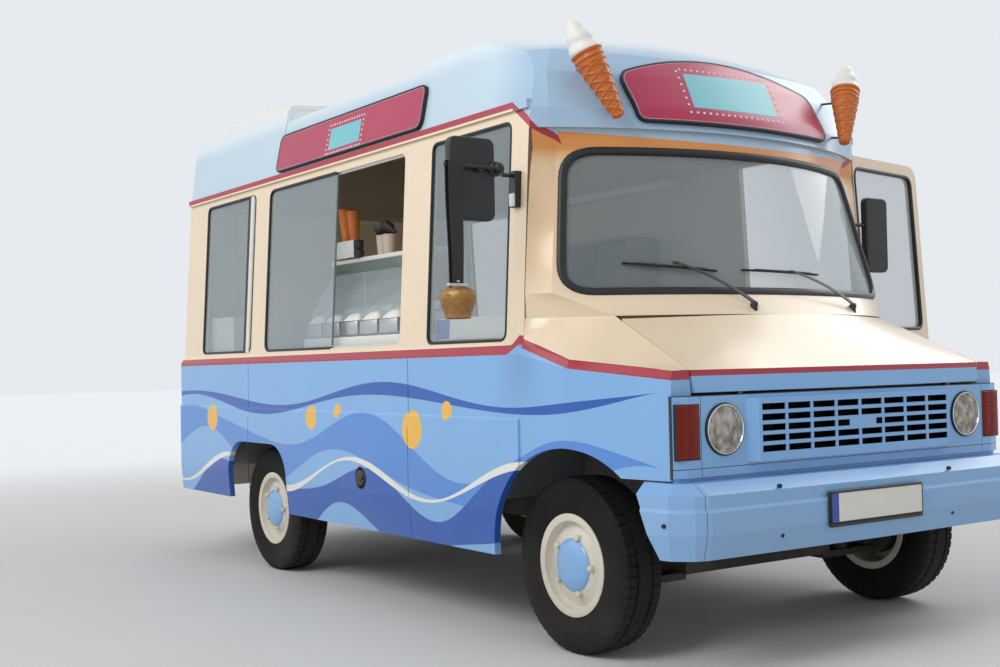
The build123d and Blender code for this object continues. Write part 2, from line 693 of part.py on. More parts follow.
def make_bonnet():
    """The bonnet's skin with its front lip, cut to the cowl's curve and to the wings."""
    gap_x = COWL_CORNER[0] + BONNET_GAP
    half = COWL_CORNER[1] - BONNET_GAP
    arc = ThreePointArc((gap_x, half + BONNET_SIDE_CUT), (COWL_X + BONNET_GAP, 0), (gap_x, -half - BONNET_SIDE_CUT))
    rest = Polyline((gap_x, -half - BONNET_SIDE_CUT), (0, -LOWER_Y), (0, LOWER_Y), (gap_x, half + BONNET_SIDE_CUT))
    behind = Pos(0, 0, COWL_Z - 3 * BONNET_SKIN) * extrude(make_face(arc + rest), amount=4 * BONNET_SKIN)
    skin = bonnet_solid(0) - bonnet_solid(BONNET_SKIN) - behind
    slope = (BONNET_FRONT_Y - half) / (BONNET_FRONT_X[1] - gap_x)
    x1 = BONNET_FRONT_X[0] + 5 * CUT
    y0 = half - slope * gap_x
    y1 = half + slope * (x1 - gap_x)
    return skin & prism_z([(0, -y0), (x1, -y1), (x1, y1), (0, y0)], (BONNET_LIP_Z - CUT, COWL_Z + CUT))


def make_front_panel():
    """Nose panel with its buffers, lamp wells, grille slots and the strip above the bumper."""
    back, face = PANEL_X
    front = face + GRILLE_DEEP
    ends, turn = PANEL_ROUND
    half = [(back, PANEL_HALF), (face - ends, PANEL_HALF), (face, PANEL_HALF - turn)]
    panel = prism_z(half + [(x, -y) for x, y in reversed(half)], PANEL_Z)
    foot, lip, below, above = GRILLE_EDGE
    half = [(back, GRILLE_HALF + foot), (face, GRILLE_HALF + foot), (front, GRILLE_HALF + lip)]
    panel += prism_z(half + [(x, -y) for x, y in reversed(half)], (GRILLE_Z[0] - below, GRILLE_Z[1] + above))
    pitch_z = (GRILLE_Z[1] - GRILLE_Z[0]) / GRILLE_ROWS
    pitch_y = 2 * GRILLE_HALF / GRILLE_COLUMNS
    middle_columns = (GRILLE_COLUMNS // 2 - 1, GRILLE_COLUMNS // 2)
    slots = []
    for row in range(GRILLE_ROWS):
        z = GRILLE_Z[0] + (row + 0.5) * pitch_z
        for column in range(GRILLE_COLUMNS):
            if row == GRILLE_ROWS // 2 and column in middle_columns:
                continue
            y = (column + 0.5) * pitch_y - GRILLE_HALF
            slots.append(block((back - FUSE, front + FUSE), (y - (pitch_y - SLOT_GAP_Y) / 2, y + (pitch_y - SLOT_GAP_Y) / 2),
                               (z - SLOT_SHARE * pitch_z / 2, z + SLOT_SHARE * pitch_z / 2)))
    panel -= slots
    for side in (-1, 1):
        panel += block((back + BUFFER_X[0], back + BUFFER_X[1]), flip(side, BUFFER_Y), (PANEL_Z[1] - FUSE, BONNET_LIP_Z - SEAT))
        panel -= disc_x(side * LAMP_Y, LAMP_Z, LAMP_R + SEAT, (back + WELL_FLOOR, front + CUT))
        panel -= block((back + WELL_FLOOR, front), flip(side, INDICATOR_Y), INDICATOR_Z)
    return panel


def make_headlamps():
    """Round lamps: a ring and a domed lens on a short can."""
    r = LAMP_R
    deep = PANEL_DEEP - WELL_FLOOR
    profile = [(0, 0), (r, 0), (r, deep + 4), (r - 8, deep + 8), (r - 12, deep), (0.65 * r, deep + 9), (0.34 * r, deep + 14),
               (0, deep + 16)]
    return both(Pos(PANEL_X[0] + WELL_FLOOR, LAMP_Y, LAMP_Z) * Rot(0, 90, 0) * turned(profile, Axis.Z, Plane.XZ))


def make_indicators():
    """Front direction lamps, proud of the panel with their outer edges rounded."""
    lens = block((PANEL_X[0] + WELL_FLOOR, PANEL_X[1] + INDICATOR_OUT), INDICATOR_Y, INDICATOR_Z)
    return both(fillet(lens.faces().sort_by(Axis.X)[-1].edges(), INDICATOR_OUT - FUSE))


def bumper_face(z, set_back, end_x):
    """The bumper's plan at one height, every point moved in along its own normal."""
    half = [(x - set_back * nx, y - set_back * ny) for (x, y), (nx, ny) in zip(BUMPER_PLAN, BUMPER_NORMALS)]
    half[-1] = (end_x, half[-1][1])
    return Pos(0, 0, z) * make_face(Polyline(*half, *[(x, -y) for x, y in reversed(half[1:])], close=True))


def bumper_solid(shell, end_cut):
    """The bumper's outside, or the room behind its pressing."""
    end = BUMPER_PLAN[-1][0] - end_cut
    return stacked([bumper_face(z, set_back + shell, end + shift) for z, set_back, shift in BUMPER_LEVELS])


def bumper_room():
    """The room behind the bumper's pressing."""
    levels = [bumper_face(z, set_back + BUMPER_THICK, BUMPER_PLAN[-1][0] - BUMPER_END_CUT) for z, set_back, _ in BUMPER_LEVELS]
    return Pos(0, 0, -BUMPER_THICK) * stacked(levels)


def make_front_bumper():
    """Pressed bumper: sloping top ledge, upright band and tucked-in foot, wrapped round the corners."""
    return bumper_solid(0.0, 0.0) - bumper_room()


def make_number_plates():
    """Blank plates in their holders, front and rear."""
    w, h, t = PLATE
    rim_, foot, deep = PLATE_HOLDER
    y, z = PLATE_AT
    back = BUMPER_PLAN[0][0]
    front = block((back, back + deep), (y - w / 2 - rim_, y + w / 2 + rim_), (z - h / 2 - foot, z + h / 2 + rim_))
    front += block((back + deep, back + deep + t), (y - w / 2, y + w / 2), (z - h / 2, z + h / 2))
    rear = block((REAR_X - deep, REAR_X), (-w / 2, w / 2), (REAR_PLATE_Z, REAR_PLATE_Z + h))
    return Compound([front, rear])


# Roof
def roof_face(x, shoulder_z, crown_z, shoulder_y, base_z, inset):
    """One station of the roof: leaning sides, a rounded shoulder and a crowned top."""
    turn, bend, knee = ((shoulder_y - inset + dy, shoulder_z - inset + dz) for dy, dz in SHOULDER)
    low = (CANT_Y + BROW_LEAN * (CANT_Z - base_z) - inset, base_z - (FUSE if inset else 0))
    flank = [low, (CANT_Y - inset, CANT_Z), turn] if base_z < CANT_Z else [low, turn]
    other = [(-y, z) for y, z in reversed(flank)]
    edges = Polyline(*flank) + ThreePointArc(turn, bend, knee)
    edges += ThreePointArc(knee, (0, crown_z - inset), (-knee[0], knee[1]))
    edges += ThreePointArc((-knee[0], knee[1]), (-bend[0], bend[1]), (-turn[0], turn[1]))
    edges += Polyline(*other) + Line(other[-1], low)
    return Pos(x, 0, 0) * (Plane.YZ * make_face(edges))


def roof_stretch(name, rows, inset, ends):
    """One stretch of the roof through its stations, with its ends shifted where it is the room inside."""
    base = BROW_Z if name == "front" else CANT_Z
    shifts = [0.0] * len(rows)
    shifts[0], shifts[-1] = ends
    return stacked([roof_face(x + shift, shoulder_z, crown_z, shoulder_y, base, inset)
                    for (x, shoulder_z, crown_z, shoulder_y), shift in zip(rows, shifts)])


def front_rake(inset):
    """All that lies behind the roof's raked and rounded front, set in by its wall."""
    faces = []
    for z, centre, corner_x, corner_y, slope in FRONT_ROWS:
        corner = (corner_x - inset * 0.6, corner_y - inset * 0.8)
        far = (corner[0] - (FLANK_Y - corner[1]) / slope, FLANK_Y)
        arc = ThreePointArc(corner, (centre - inset, 0), (corner[0], -corner[1]))
        rest = Polyline((corner[0], -corner[1]), (far[0], -far[1]), (2 * REAR_X, -far[1]), (2 * REAR_X, far[1]), far, corner)
        drop = FUSE if inset and z == BROW_Z else 0
        faces.append(Pos(0, 0, z - drop) * make_face(arc + rest))
    return stacked(faces)


def make_roof():
    """The roof moulding, and its outside as one solid."""
    ends = {"rear": (ROOF_WALL, FUSE), "middle": (-FUSE, FUSE), "dome": (-FUSE, 0.0), "front": (-FUSE, 5 * CUT)}
    outside = None
    room = None
    for name, rows in ROOF_ROWS:
        skin = roof_stretch(name, rows, 0, (0.0, 0.0))
        core = roof_stretch(name, rows, ROOF_WALL, ends[name])
        outside = skin if outside is None else outside + skin
        room = core if room is None else room + core
    outside &= front_rake(0)
    room &= front_rake(ROOF_WALL)
    roof = outside - room
    for side in (-1, 1):
        roof += block((REAR_X, POST_X), flip(side, (CANT_Y - GUTTER_IN, CANT_Y + GUTTER_OUT)), GUTTER_Z)
    return roof, outside


# Driver's door
def door_shape():
    """The door, shut: the side's own section, rounded at its top rear corner, with its window."""
    door = side_wall(DOOR_X, DOOR_Z[0], DOOR_Z[1], DOOR_THICK)
    corner = block((DOOR_X[0] - FUSE, DOOR_X[0] + DOOR_R), THROUGH, (DOOR_Z[1] - DOOR_R, DOOR_Z[1] + FUSE))
    corner -= disc_y(DOOR_X[0] + DOOR_R, DOOR_Z[1] - DOOR_R, DOOR_R, (THROUGH[0] - FUSE, THROUGH[1] + FUSE))
    door -= corner
    door -= window(DOOR_WINDOW_X, DOOR_WINDOW_Z, DOOR_WINDOW_R)
    door -= front_arch(THROUGH)
    for z in HINGE_Z:
        leaf, half = HINGE_LEAF
        skin = side_point(z)[0]
        door += disc_z(HINGE_X, HINGE_Y, HINGE_R, (z - HINGE_HALF, z + HINGE_HALF))
        door += block((DOOR_X[1] - leaf, HINGE_X), (skin - FUSE, HINGE_Y), (z - half, z + half))
    return door


def swing(piece):
    """The door's open position in the photograph."""
    return Pos(HINGE_X, HINGE_Y, 0) * Rot(0, 0, -DOOR_OPEN) * Pos(-HINGE_X, -HINGE_Y, 0) * piece


# Running gear
def tyre():
    """A road tyre, without its tread, as one ring about y."""
    half = TYRE_W / 2
    flange = RIM_R + RIM_FLANGE + 4
    belly = (flange + TYRE_R) / 2 - 19
    side = [(RIM_R, 0.80), (flange, 0.84), (belly, 1.0), (TYRE_R - 40, 0.97), (TYRE_R - 10, 0.82), (TYRE_R, 0.62)]
    profile = [(r, -half * share) for r, share in side] + [(r, half * share) for r, share in reversed(side)]
    return turned(profile, Axis.Y, Plane.XY)


def rim():
    """A pressed wheel with its outside towards +y: barrel, disc and hub cap."""
    half = TYRE_W * 0.4
    flange = RIM_R + RIM_FLANGE
    inside = [(RIM_R - 0.2, -half), (flange, -half - 4), (flange, -half - 10), (RIM_R - 10, -half - 8), (RIM_R - 12, half - 40),
              (HUB_CAP_R + 40, half - 30), (HUB_CAP_R + 26, half - 18), (HUB_CAP_R + 8, half - 12), (0, half - 12)]
    outside = [(0, half + 12), (0.65 * HUB_CAP_R, half + 6), (HUB_CAP_R, half - 2), (HUB_CAP_R + 4, half - 8),
               (HUB_CAP_R + 28, half - 12), (HUB_CAP_R + 46, half - 22), (RIM_R - 12, half - 26), (RIM_R - 10, half + 6),
               (flange, half + 10), (flange, half + 4), (RIM_R - 0.2, half)]
    return turned(inside + outside, Axis.Y, Plane.XY)


STUB_END = WHEEL_Y + TYRE_W * 0.4 - 12.0 - 0.4


def wheel_place(x, side):
    """Where a wheel stands, its outside turned away from the truck."""
    return Pos(x, side * WHEEL_Y, TYRE_R) * Rot(0, 0, 0 if side > 0 else 180)


def make_knuckle(side):
    """Upright, stub axle, drum and steering arm of one front wheel."""
    low, high = TYRE_R - UPRIGHT_DOWN, TYRE_R + UPRIGHT_UP
    wide, deep = UPRIGHT
    piece = block((-wide / 2, wide / 2), (KINGPIN_Y - deep / 2, KINGPIN_Y + deep / 2), (low + UPRIGHT_END, high - UPRIGHT_END))
    piece += disc_z(0, KINGPIN_Y, KINGPIN_R, (low, high))
    piece += disc_y(0, TYRE_R, STUB_ROOT[0], (KINGPIN_Y, KINGPIN_Y + STUB_ROOT[1]))
    piece += disc_y(0, TYRE_R, STUB_R, (KINGPIN_Y, STUB_END)) + disc_y(0, TYRE_R, HUB_R, (STUB_END - HUB_W, STUB_END))
    piece += disc_y(0, TYRE_R, DRUM_R, (KINGPIN_Y + DRUM_OUT[0], KINGPIN_Y + DRUM_OUT[1]))
    reach, width, thick = STEER_ARM
    piece += block((-reach, 0), (KINGPIN_Y - width, KINGPIN_Y), (low + CUT, low + CUT + thick))
    return piece if side > 0 else mirrored(piece)


def make_front_suspension():
    """Cross members, arms with their kingpin bosses and coil springs of the front axle."""
    low = (TYRE_R - UPRIGHT_DOWN - SEAT - ARM_THICK, TYRE_R - UPRIGHT_DOWN - SEAT)
    high = (TYRE_R + UPRIGHT_UP + SEAT, TYRE_R + UPRIGHT_UP + SEAT + ARM_THICK)
    inner = (RAIL_Y[0] + RAIL_Y[1]) / 2
    piece = block((-CROSS_HALF, CROSS_HALF), (-inner, inner), CROSS_Z)
    piece += block((-ARM_HALF[0], ARM_HALF[0]), (-inner, inner), (CROSS_Z[1] - FUSE, RAIL_Z[0]))
    for side in (-1, 1):
        piece += block((-ARM_HALF[0], ARM_HALF[0]), flip(side, (inner - 2 * CUT, KINGPIN_Y - ARM_END)), low)
        piece += block((-ARM_HALF[0], ARM_HALF[0]), flip(side, (inner - 2 * CUT, inner)), (low[0], CROSS_Z[0] + CUT))
        piece += block((-ARM_HALF[1], ARM_HALF[1]), flip(side, (RAIL_Y[1], KINGPIN_Y - ARM_END)), high)
        for z in (low, high):
            piece += disc_z(0, side * KINGPIN_Y, KINGPIN_R, z)
            piece += block((-KINGPIN_R, KINGPIN_R), flip(side, (KINGPIN_Y - ARM_END - FUSE, KINGPIN_Y)), z)
        piece += disc_z(0, side * SPRING_Y, SPRING_R, (low[1] - FUSE, high[0] + FUSE))
    return piece


def make_chassis_frame(bumper):
    """Two side rails, raised over the rear axle, the cross members between them and the bumper irons."""
    low, high = RAIL_Z
    back = REAR_X + RAIL_REAR
    dip = -WHEELBASE + SPRING_HALF[1]
    hump = (-WHEELBASE - 388, -WHEELBASE + 392)
    line = [(RAIL_FRONT, low + 60), (RAIL_FRONT, high), (dip, high), (hump[1], high + RAIL_RISE), (back, high + RAIL_RISE),
            (back, low + RAIL_RISE), (hump[0], low + 2 * RAIL_RISE), (hump[1], low + 2 * RAIL_RISE), (dip, low), (200, low)]
    frame = prism_y(line, RAIL_Y) + prism_y(line, flip(-1, RAIL_Y))
    for x, z in ((RAIL_FRONT - 60, (462.0, high - 2)), (-1240.0, (486.0, high - 2)), (-1900.0, (452.0, high - 2)),
                 (-WHEELBASE - 508, (485.0, 555.0)), (back, (450.0, 550.0))):
        frame += block((x, x + 60), (-RAIL_Y[0] - FUSE, RAIL_Y[0] + FUSE), z)
    for side in (-1, 1):
        y = flip(side, RAIL_Y)
        for x, top in ((-1400.0, high), (REAR_X + 315, high + RAIL_RISE)):
            frame += block((x - 60, x + 60), y, (top, FLOOR_Z[0]))
        frame += block(JACK_PAD_X, y, (low - JACK_PAD, low + FUSE))
        frame += block((RAIL_FRONT - FUSE, BUMPER_PLAN[0][0] - BUMPER_IRON_IN), y, BUMPER_IRON_Z) - bumper
        frame -= disc_y(TOW_HOLE_X, TOW_HOLE_Z, TOW_HOLE_R, (y[0] - FUSE, y[1] + FUSE))
    return frame


def make_rear_axle(frame):
    """Axle tube, differential, and leaf springs hung below the rails."""
    x = -WHEELBASE
    mid = RAIL_Z[0] - SPRING_DROP
    ends = (x - SPRING_HALF[0], x + SPRING_HALF[1])
    eye = RAIL_Z[0] - FUSE
    leaf = [(ends[0], eye + 25), (ends[0], eye + 25 + LEAF), (x - 300, mid + 27), (x, mid + PACK / 2), (x + 300, mid + 27),
            (ends[1], eye), (ends[1], eye - LEAF), (x + 250, mid), (x, mid - PACK / 2), (x - 250, mid)]
    axle = disc_y(x, TYRE_R, AXLE_R, (-STUB_END, STUB_END)) + Pos(x, 0, TYRE_R) * Sphere(DIFF_R)
    for side in (-1, 1):
        y = flip(side, RAIL_Y)
        axle += disc_y(x, TYRE_R, DRUM_R, flip(side, REAR_DRUM_Y))
        axle += disc_y(x, TYRE_R, HUB_R, flip(side, (STUB_END - HUB_W, STUB_END)))
        axle += prism_y(leaf, y) + block((x - HANGER_W, x + HANGER_W), y, tuple(sorted((TYRE_R, mid))))
        axle += block((ends[1] - HANGER_W / 2, ends[1] + HANGER_W / 2), y, (eye - LEAF, RAIL_Z[0] + CUT))
        axle += block((ends[0] - HANGER_W / 4, ends[0] + HANGER_W / 4), y, (eye + 25, RAIL_Z[1] - CUT))
    return axle - frame


def make_engine_block():
    """Engine and gearbox as one plain mass, on its mounts between the rails."""
    engine = block(*ENGINE) + block(*GEARBOX) + block(*GEAR_TAIL)
    return engine + block(ENGINE_MOUNT[0], (-RAIL_Y[0], RAIL_Y[0]), ENGINE_MOUNT[1])


def make_driveline():
    """Propeller shaft from the gearbox to the differential."""
    front = Vector(GEAR_TAIL[0][0] + CUT, 0, SHAFT_Z[0])
    rear = Vector(-WHEELBASE + DIFF_R - CUT, 0, SHAFT_Z[1])
    along = front - rear
    shaft = Plane(origin=rear, z_dir=along) * Pos(0, 0, along.length / 2) * Cylinder(SHAFT_R, along.length)
    shaft -= Pos(-WHEELBASE, 0, TYRE_R) * Sphere(DIFF_R)
    return shaft - block((GEAR_TAIL[0][0] - SEAT, 0), (-RAIL_Y[0], RAIL_Y[0]), (0, FLOOR_Z[0]))


def make_exhaust():
    """Silencer and pipe along the left rail."""
    y = EXHAUST_Y
    pipe = disc_x(y, EXHAUST_Z, PIPE_R, PIPE_X) + disc_x(y, EXHAUST_Z, SILENCER_R, SILENCER_X)
    for x in PIPE_HANGER_X:
        pipe += block((x - PIPE_HANGER / 2, x + PIPE_HANGER / 2), (y - PIPE_HANGER / 2, y + PIPE_HANGER / 2),
                      (EXHAUST_Z, FLOOR_Z[0]))
    return pipe


def make_fuel_tank():
    """Flat tank below the floor on the right, on two straps."""
    x, y, z = TANK
    tank = fillet(block(x, y, z).edges().filter_by(Axis.X), TANK_R)
    for middle in (x[0] + TANK_STRAP_IN, x[1] - TANK_STRAP_IN):
        tank += block((middle - TANK_STRAP / 2, middle + TANK_STRAP / 2), (y[0] + TANK_R, y[1] - TANK_R),
                      (z[1] - FUSE, FLOOR_Z[0]))
    return tank


# Serving area and cab
def make_counter_units():
    """Serving counter and cupboard under the hatch, the machine at the rear, and the left-hand unit."""
    top = WINDOW_Z[0] - COUNTER_DROP
    floor = FLOOR_Z[1]
    box_x = (-WHEELBASE - REAR_ARCH_HALF - 2 * BOX_WALL, -WHEELBASE + REAR_ARCH_HALF + 2 * BOX_WALL)
    box = block(box_x, (BOX_Y - 2 * BOX_WALL, LOWER_Y), (floor - FUSE, BOX_TOP + 2 * BOX_WALL))
    counter = block((HATCH[0] - COUNTER_OVER[0], HATCH[1] + COUNTER_OVER[1]), (COUNTER_BACK_Y, WAIST_Y - WALL - FUSE),
                    (top - COUNTER_THICK, top))
    ends = (HATCH[0] - CUPBOARD_IN + UNIT_GAP, HATCH[1] - CUPBOARD_IN / 2)
    cupboard = block(ends, CUPBOARD_Y, (floor, top - COUNTER_THICK)) - box
    machine = block((REAR_X + MACHINE_X[0], REAR_X + MACHINE_X[1]), (-MACHINE_HALF, MACHINE_HALF), (floor, MACHINE_Z))
    left = block((REAR_X + MACHINE_X[1] + CUT, HATCH[1] - HATCH_PILLAR / 2), LEFT_UNIT_Y, (floor, LEFT_UNIT_Z)) - box
    return Compound([mirrored(counter + cupboard), machine - box - mirrored(box), left])


def make_seats():
    """Driver's seat: box, cushion and back rest."""
    (base_x, base_half, base_up), (cushion_x, cushion_half, cushion_up) = SEAT_BASE, CUSHION
    base_top = FLOOR_Z[1] + base_up
    top = base_top + cushion_up
    base = block(base_x, (SEAT_Y - base_half, SEAT_Y + base_half), (FLOOR_Z[1], base_top))
    cushion = block(cushion_x, (SEAT_Y - cushion_half, SEAT_Y + cushion_half), (base_top, top))
    cushion = fillet(cushion.edges(), CUSHION_R)
    deep, tall, lean, half = BACK_REST
    back_x = cushion_x[0]
    line = [(back_x, top - CUT), (back_x + deep, top - CUT), (back_x + deep - 1.3 * lean, top + tall), (back_x - lean, top + tall)]
    back = fillet(prism_y(line, (SEAT_Y - half, SEAT_Y + half)).edges(), BACK_REST_R)
    return base + cushion + back


def make_dashboard():
    """Dashboard across the cab with the steering column."""
    dash = block((BULKHEAD_X[0] - DASH_DEEP, BULKHEAD_X[0]), (-DASH_HALF, DASH_HALF), DASH_Z)
    dash = fillet(dash.edges().filter_by(Axis.Y).group_by(Axis.X)[0], DASH_R)
    drop = COLUMN_LENGTH / 2 + STEERING_HUB[1] / 8
    return dash + Pos(*COLUMN_AT) * Rot(0, COLUMN_TILT, 0) * Pos(0, 0, -drop) * Cylinder(COLUMN_R, COLUMN_LENGTH)


def make_steering_wheel():
    """Rim, hub and three spokes."""
    hub_r, hub_h = STEERING_HUB
    wheel = Torus(STEERING_R, STEERING_RIM) + Cylinder(hub_r, hub_h)
    for angle in (0, 120, 240):
        wheel += Rot(0, 0, angle) * Pos(STEERING_R / 2, 0, 0) * Box(STEERING_R - SPOKE[1], *SPOKE)
    return Pos(*COLUMN_AT) * Rot(0, COLUMN_TILT, 0) * Pos(0, 0, STEERING_LIFT) * wheel


# Fittings
def make_roof_cones(roof):
    """Two big ice cream cones that lean out from the roof's front corners, on brackets."""
    step = [b - a for a, b in zip(CONE_FOOT, CONE_TIP)]
    length = sqrt(sum(d * d for d in step))
    r = CONE_R
    profile = [(0, 0), (0.32 * r, 0), (r - 14, length * 0.62), (r, length * 0.64), (r, length * 0.74), (r - 8, length * 0.75),
               (r - 12, length * 0.84), (r - 26, length * 0.92), (0.3 * r, length * 0.99), (0, length)]
    cone = Plane(origin=CONE_FOOT, z_dir=Vector(*step)) * turned(profile, Axis.Z, Plane.XZ)
    half = CONE_BRACKET_HALF
    for z, back in CONE_BRACKETS:
        part = (z - CONE_FOOT[2]) / step[2]
        x, y = (CONE_FOOT[i] + part * step[i] for i in (0, 1))
        cone += block((back, x), (y - half, y + half), (z - half, z + half)) - roof
    return both(cone)


def side_sign():
    """The blank panel on the roof's left side, above the hatch's place."""
    _, rows = ROOF_ROWS[1]
    _, shoulder_z, _, shoulder_y = rows[-1]
    rise = shoulder_z + SHOULDER[0][1] - CANT_Z
    run = CANT_Y - shoulder_y - SHOULDER[0][0]
    x = (SIDE_SIGN_X[0] + SIDE_SIGN_X[1]) / 2
    z = (SIDE_SIGN_Z[0] + SIDE_SIGN_Z[1]) / 2
    y = CANT_Y - run / rise * (z - CANT_Z) - SIGN_SINK
    slant = sqrt(1 + (run / rise) ** 2)
    face = RectangleRounded(SIDE_SIGN_X[1] - SIDE_SIGN_X[0], (SIDE_SIGN_Z[1] - SIDE_SIGN_Z[0]) * slant, SIGN_R)
    place = Plane(origin=(x, y, z), x_dir=(1, 0, 0), z_dir=(0, rise, run))
    return extrude(place * face, amount=SIGN_THICK)


def front_sign(outside):
    """The arched panel that follows the roof's raked front."""
    low, high = FRONT_SIGN_HALF
    foot, shoulder, crown = FRONT_SIGN_Z
    arch = ThreePointArc((-high, shoulder), (0, crown), (high, shoulder))
    outline = make_face(arch + Polyline((high, shoulder), (low, foot), (-low, foot), (-high, shoulder)))
    outline = fillet(outline.vertices(), FRONT_SIGN_R)
    reach = Pos(-COWL_X, 0, 0) * extrude(Plane.YZ * outline, amount=2 * COWL_X, dir=(1, 0, 0))
    return ((Pos(FRONT_SIGN_THICK, 0, 0) * outside) & reach) - outside


def make_sign_panels(roof, outside):
    """Framed blank sign panels: one on each roof side and the arched one at the front."""
    side = side_sign()
    return Compound([side - roof, mirrored(side) - roof, front_sign(outside)])


def mirror_head(spans):
    """An upright mirror head with rounded corners."""
    head = fillet(block(*spans).edges().filter_by(Axis.X), MIRROR_R[0])
    return fillet(head.faces().sort_by(Axis.X)[-1].edges(), MIRROR_R[1])


def make_mirrors(wall_right, cab_front):
    """Mirrors with upright heads: the right one on a long bent arm, the left one close to its post."""
    arm = block(*ARM_PAD)
    for (x0, y0), (x1, y1) in zip(ARM_PATH, ARM_PATH[1:]):
        start, along = Vector(x0, y0, ARM_Z), Vector(x1 - x0, y1 - y0, 0)
        arm += Plane(origin=start, z_dir=along) * Pos(0, 0, along.length / 2) * Cylinder(ARM_R, along.length)
        arm += Pos(x1, y1, ARM_Z) * Sphere(ARM_R)
    ball_y = MIRROR_RIGHT[1][0] + 0.4 * (MIRROR_RIGHT[1][1] - MIRROR_RIGHT[1][0])
    arm += disc_x(ball_y, ARM_Z, 2 * ARM_R, (MIRROR_RIGHT[0][1] - FUSE, ARM_PATH[-1][0]))
    right = mirrored(mirror_head(MIRROR_RIGHT) + arm) - wall_right
    left = mirror_head(MIRROR_LEFT)
    rod_x = (MIRROR_LEFT[0][0] + MIRROR_LEFT[0][1]) / 2
    for z in LEFT_ROD_Z:
        left += disc_y(rod_x, z, LEFT_ROD_R, (surround_y(rod_x, z) - LEFT_ROD_START, MIRROR_LEFT[1][0] + 2 * CUT))
    return right, left - cab_front


def make_bell(arm):
    """Brass bell on a broad strap hung over the right mirror's arm."""
    low, high = BELL_Z
    r = BELL_R
    tall = high - low
    profile = [(0, 0), (0.8 * r, 0.03 * tall), (0.94 * r, 0.24 * tall), (r, 0.48 * tall), (0.83 * r, 0.77 * tall),
               (0.51 * r, tall), (0, tall)]
    bell = Pos(BELL_X, BELL_Y, low) * turned(profile, Axis.Z, Plane.XZ)
    strap = block((BELL_X - STRAP_THICK / 2, BELL_X + STRAP_THICK / 2), (BELL_Y - STRAP_HALF, BELL_Y + STRAP_HALF),
                  (high - FUSE, ARM_Z + ARM_R))
    return (bell + strap) - arm


def make_wipers(cowl):
    """Wiper spindles on the cowl; the arms and blades lie close to the glass."""
    spindles = [disc_z(x, y, WIPER_R, (COWL_Z + WIPER_R / 2, COWL_Z + WIPER_R / 2 + WIPER_H)) - cowl for x, y in WIPER_AT]
    return Compound(spindles)


def make_tail_lamps():
    """Upright rear lamps on the rear wall."""
    deep, y, z = TAIL_LAMP
    lamp = block((REAR_X - deep, REAR_X), y, z)
    return both(fillet(lamp.faces().sort_by(Axis.X)[0].edges(), TAIL_LAMP_R))


def make_rear_bumper():
    """Step bumper on two brackets."""
    (far, near), half, z = REAR_BUMPER
    bar = block((REAR_X - far, REAR_X - near), (-half, half), z)
    bar = fillet(bar.edges().filter_by(Axis.Z), REAR_BUMPER_R)
    for side in (-1, 1):
        bar += block((REAR_X - near - FUSE, REAR_X), flip(side, RAIL_Y), REAR_BRACKET_Z)
    return bar


def main():
    os.makedirs("parts", exist_ok=True)
    rear_wall, back_hole = make_rear_wall()
    cab_front = make_cab_front()
    wall_right = make_side_wall_right()
    roof, outside = make_roof()
    front_bumper = make_front_bumper()
    frame = make_chassis_frame(front_bumper)
    mirror_right, mirror_left = make_mirrors(wall_right, cab_front)
    pieces = {
        "chassis_frame": frame,
        "engine_block": make_engine_block(),
        "driveline": make_driveline(),
        "front_suspension": make_front_suspension(),
        "knuckle_right": make_knuckle(-1),
        "knuckle_left": make_knuckle(1),
        "rear_axle": make_rear_axle(frame),
        "exhaust": make_exhaust(),
        "fuel_tank": make_fuel_tank(),
        "floor": make_floor(),
        "wheel_boxes": make_wheel_boxes(),
        "engine_cover": make_engine_cover(),
        "side_wall_right": wall_right,
        "side_wall_left": make_side_wall_left(),
        "rear_wall": rear_wall,
        "roof": roof,
        "cab_front": cab_front,
        "wings": make_wings(),
        "bonnet": make_bonnet(),
        "front_panel": make_front_panel(),
        "headlamps": make_headlamps(),
        "indicators": make_indicators(),
        "front_bumper": front_bumper,
        "rear_bumper": make_rear_bumper(),
        "number_plates": make_number_plates(),
        "windscreen": make_windscreen(),
        "body_glass": make_body_glass(back_hole),
        "driver_door": swing(door_shape()),
        "door_glass": swing(window_glass(DOOR_WINDOW_X, DOOR_WINDOW_Z, DOOR_WINDOW_R, DOOR_GLASS_SET)),
        "counter_units": make_counter_units(),
        "seats": make_seats(),
        "dashboard": make_dashboard(),
        "steering_wheel": make_steering_wheel(),
        "roof_cones": make_roof_cones(roof),
        "sign_panels": make_sign_panels(roof, outside),
        "mirrors": Compound([mirror_right, mirror_left]),
        "bell": make_bell(mirror_right),
        "wipers": make_wipers(cab_front),
        "tail_lamps": make_tail_lamps(),
    }
    for x, side, name in ((0.0, -1, "front_right"), (0.0, 1, "front_left"),
                          (-WHEELBASE, -1, "rear_right"), (-WHEELBASE, 1, "rear_left")):
        pieces[f"tyre_{name}"] = wheel_place(x, side) * tyre()
        pieces[f"rim_{name}"] = wheel_place(x, side) * rim()
    for name, piece in pieces.items():
        write(name, piece)


main()
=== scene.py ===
"""Looks of the ice cream truck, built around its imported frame.

Sizes are in millimetres in the truck's own axes: x forward from the front axle, y to its left from the
centre plane, z up from the ground. place() moves them into the shared frame, in metres.
"""
from __future__ import annotations

import json
import logging
import math
from collections.abc import Callable
from dataclasses import dataclass
from enum import Enum
from functools import partial

import bmesh
import bpy
import numpy as np
from mathutils import Matrix, Vector

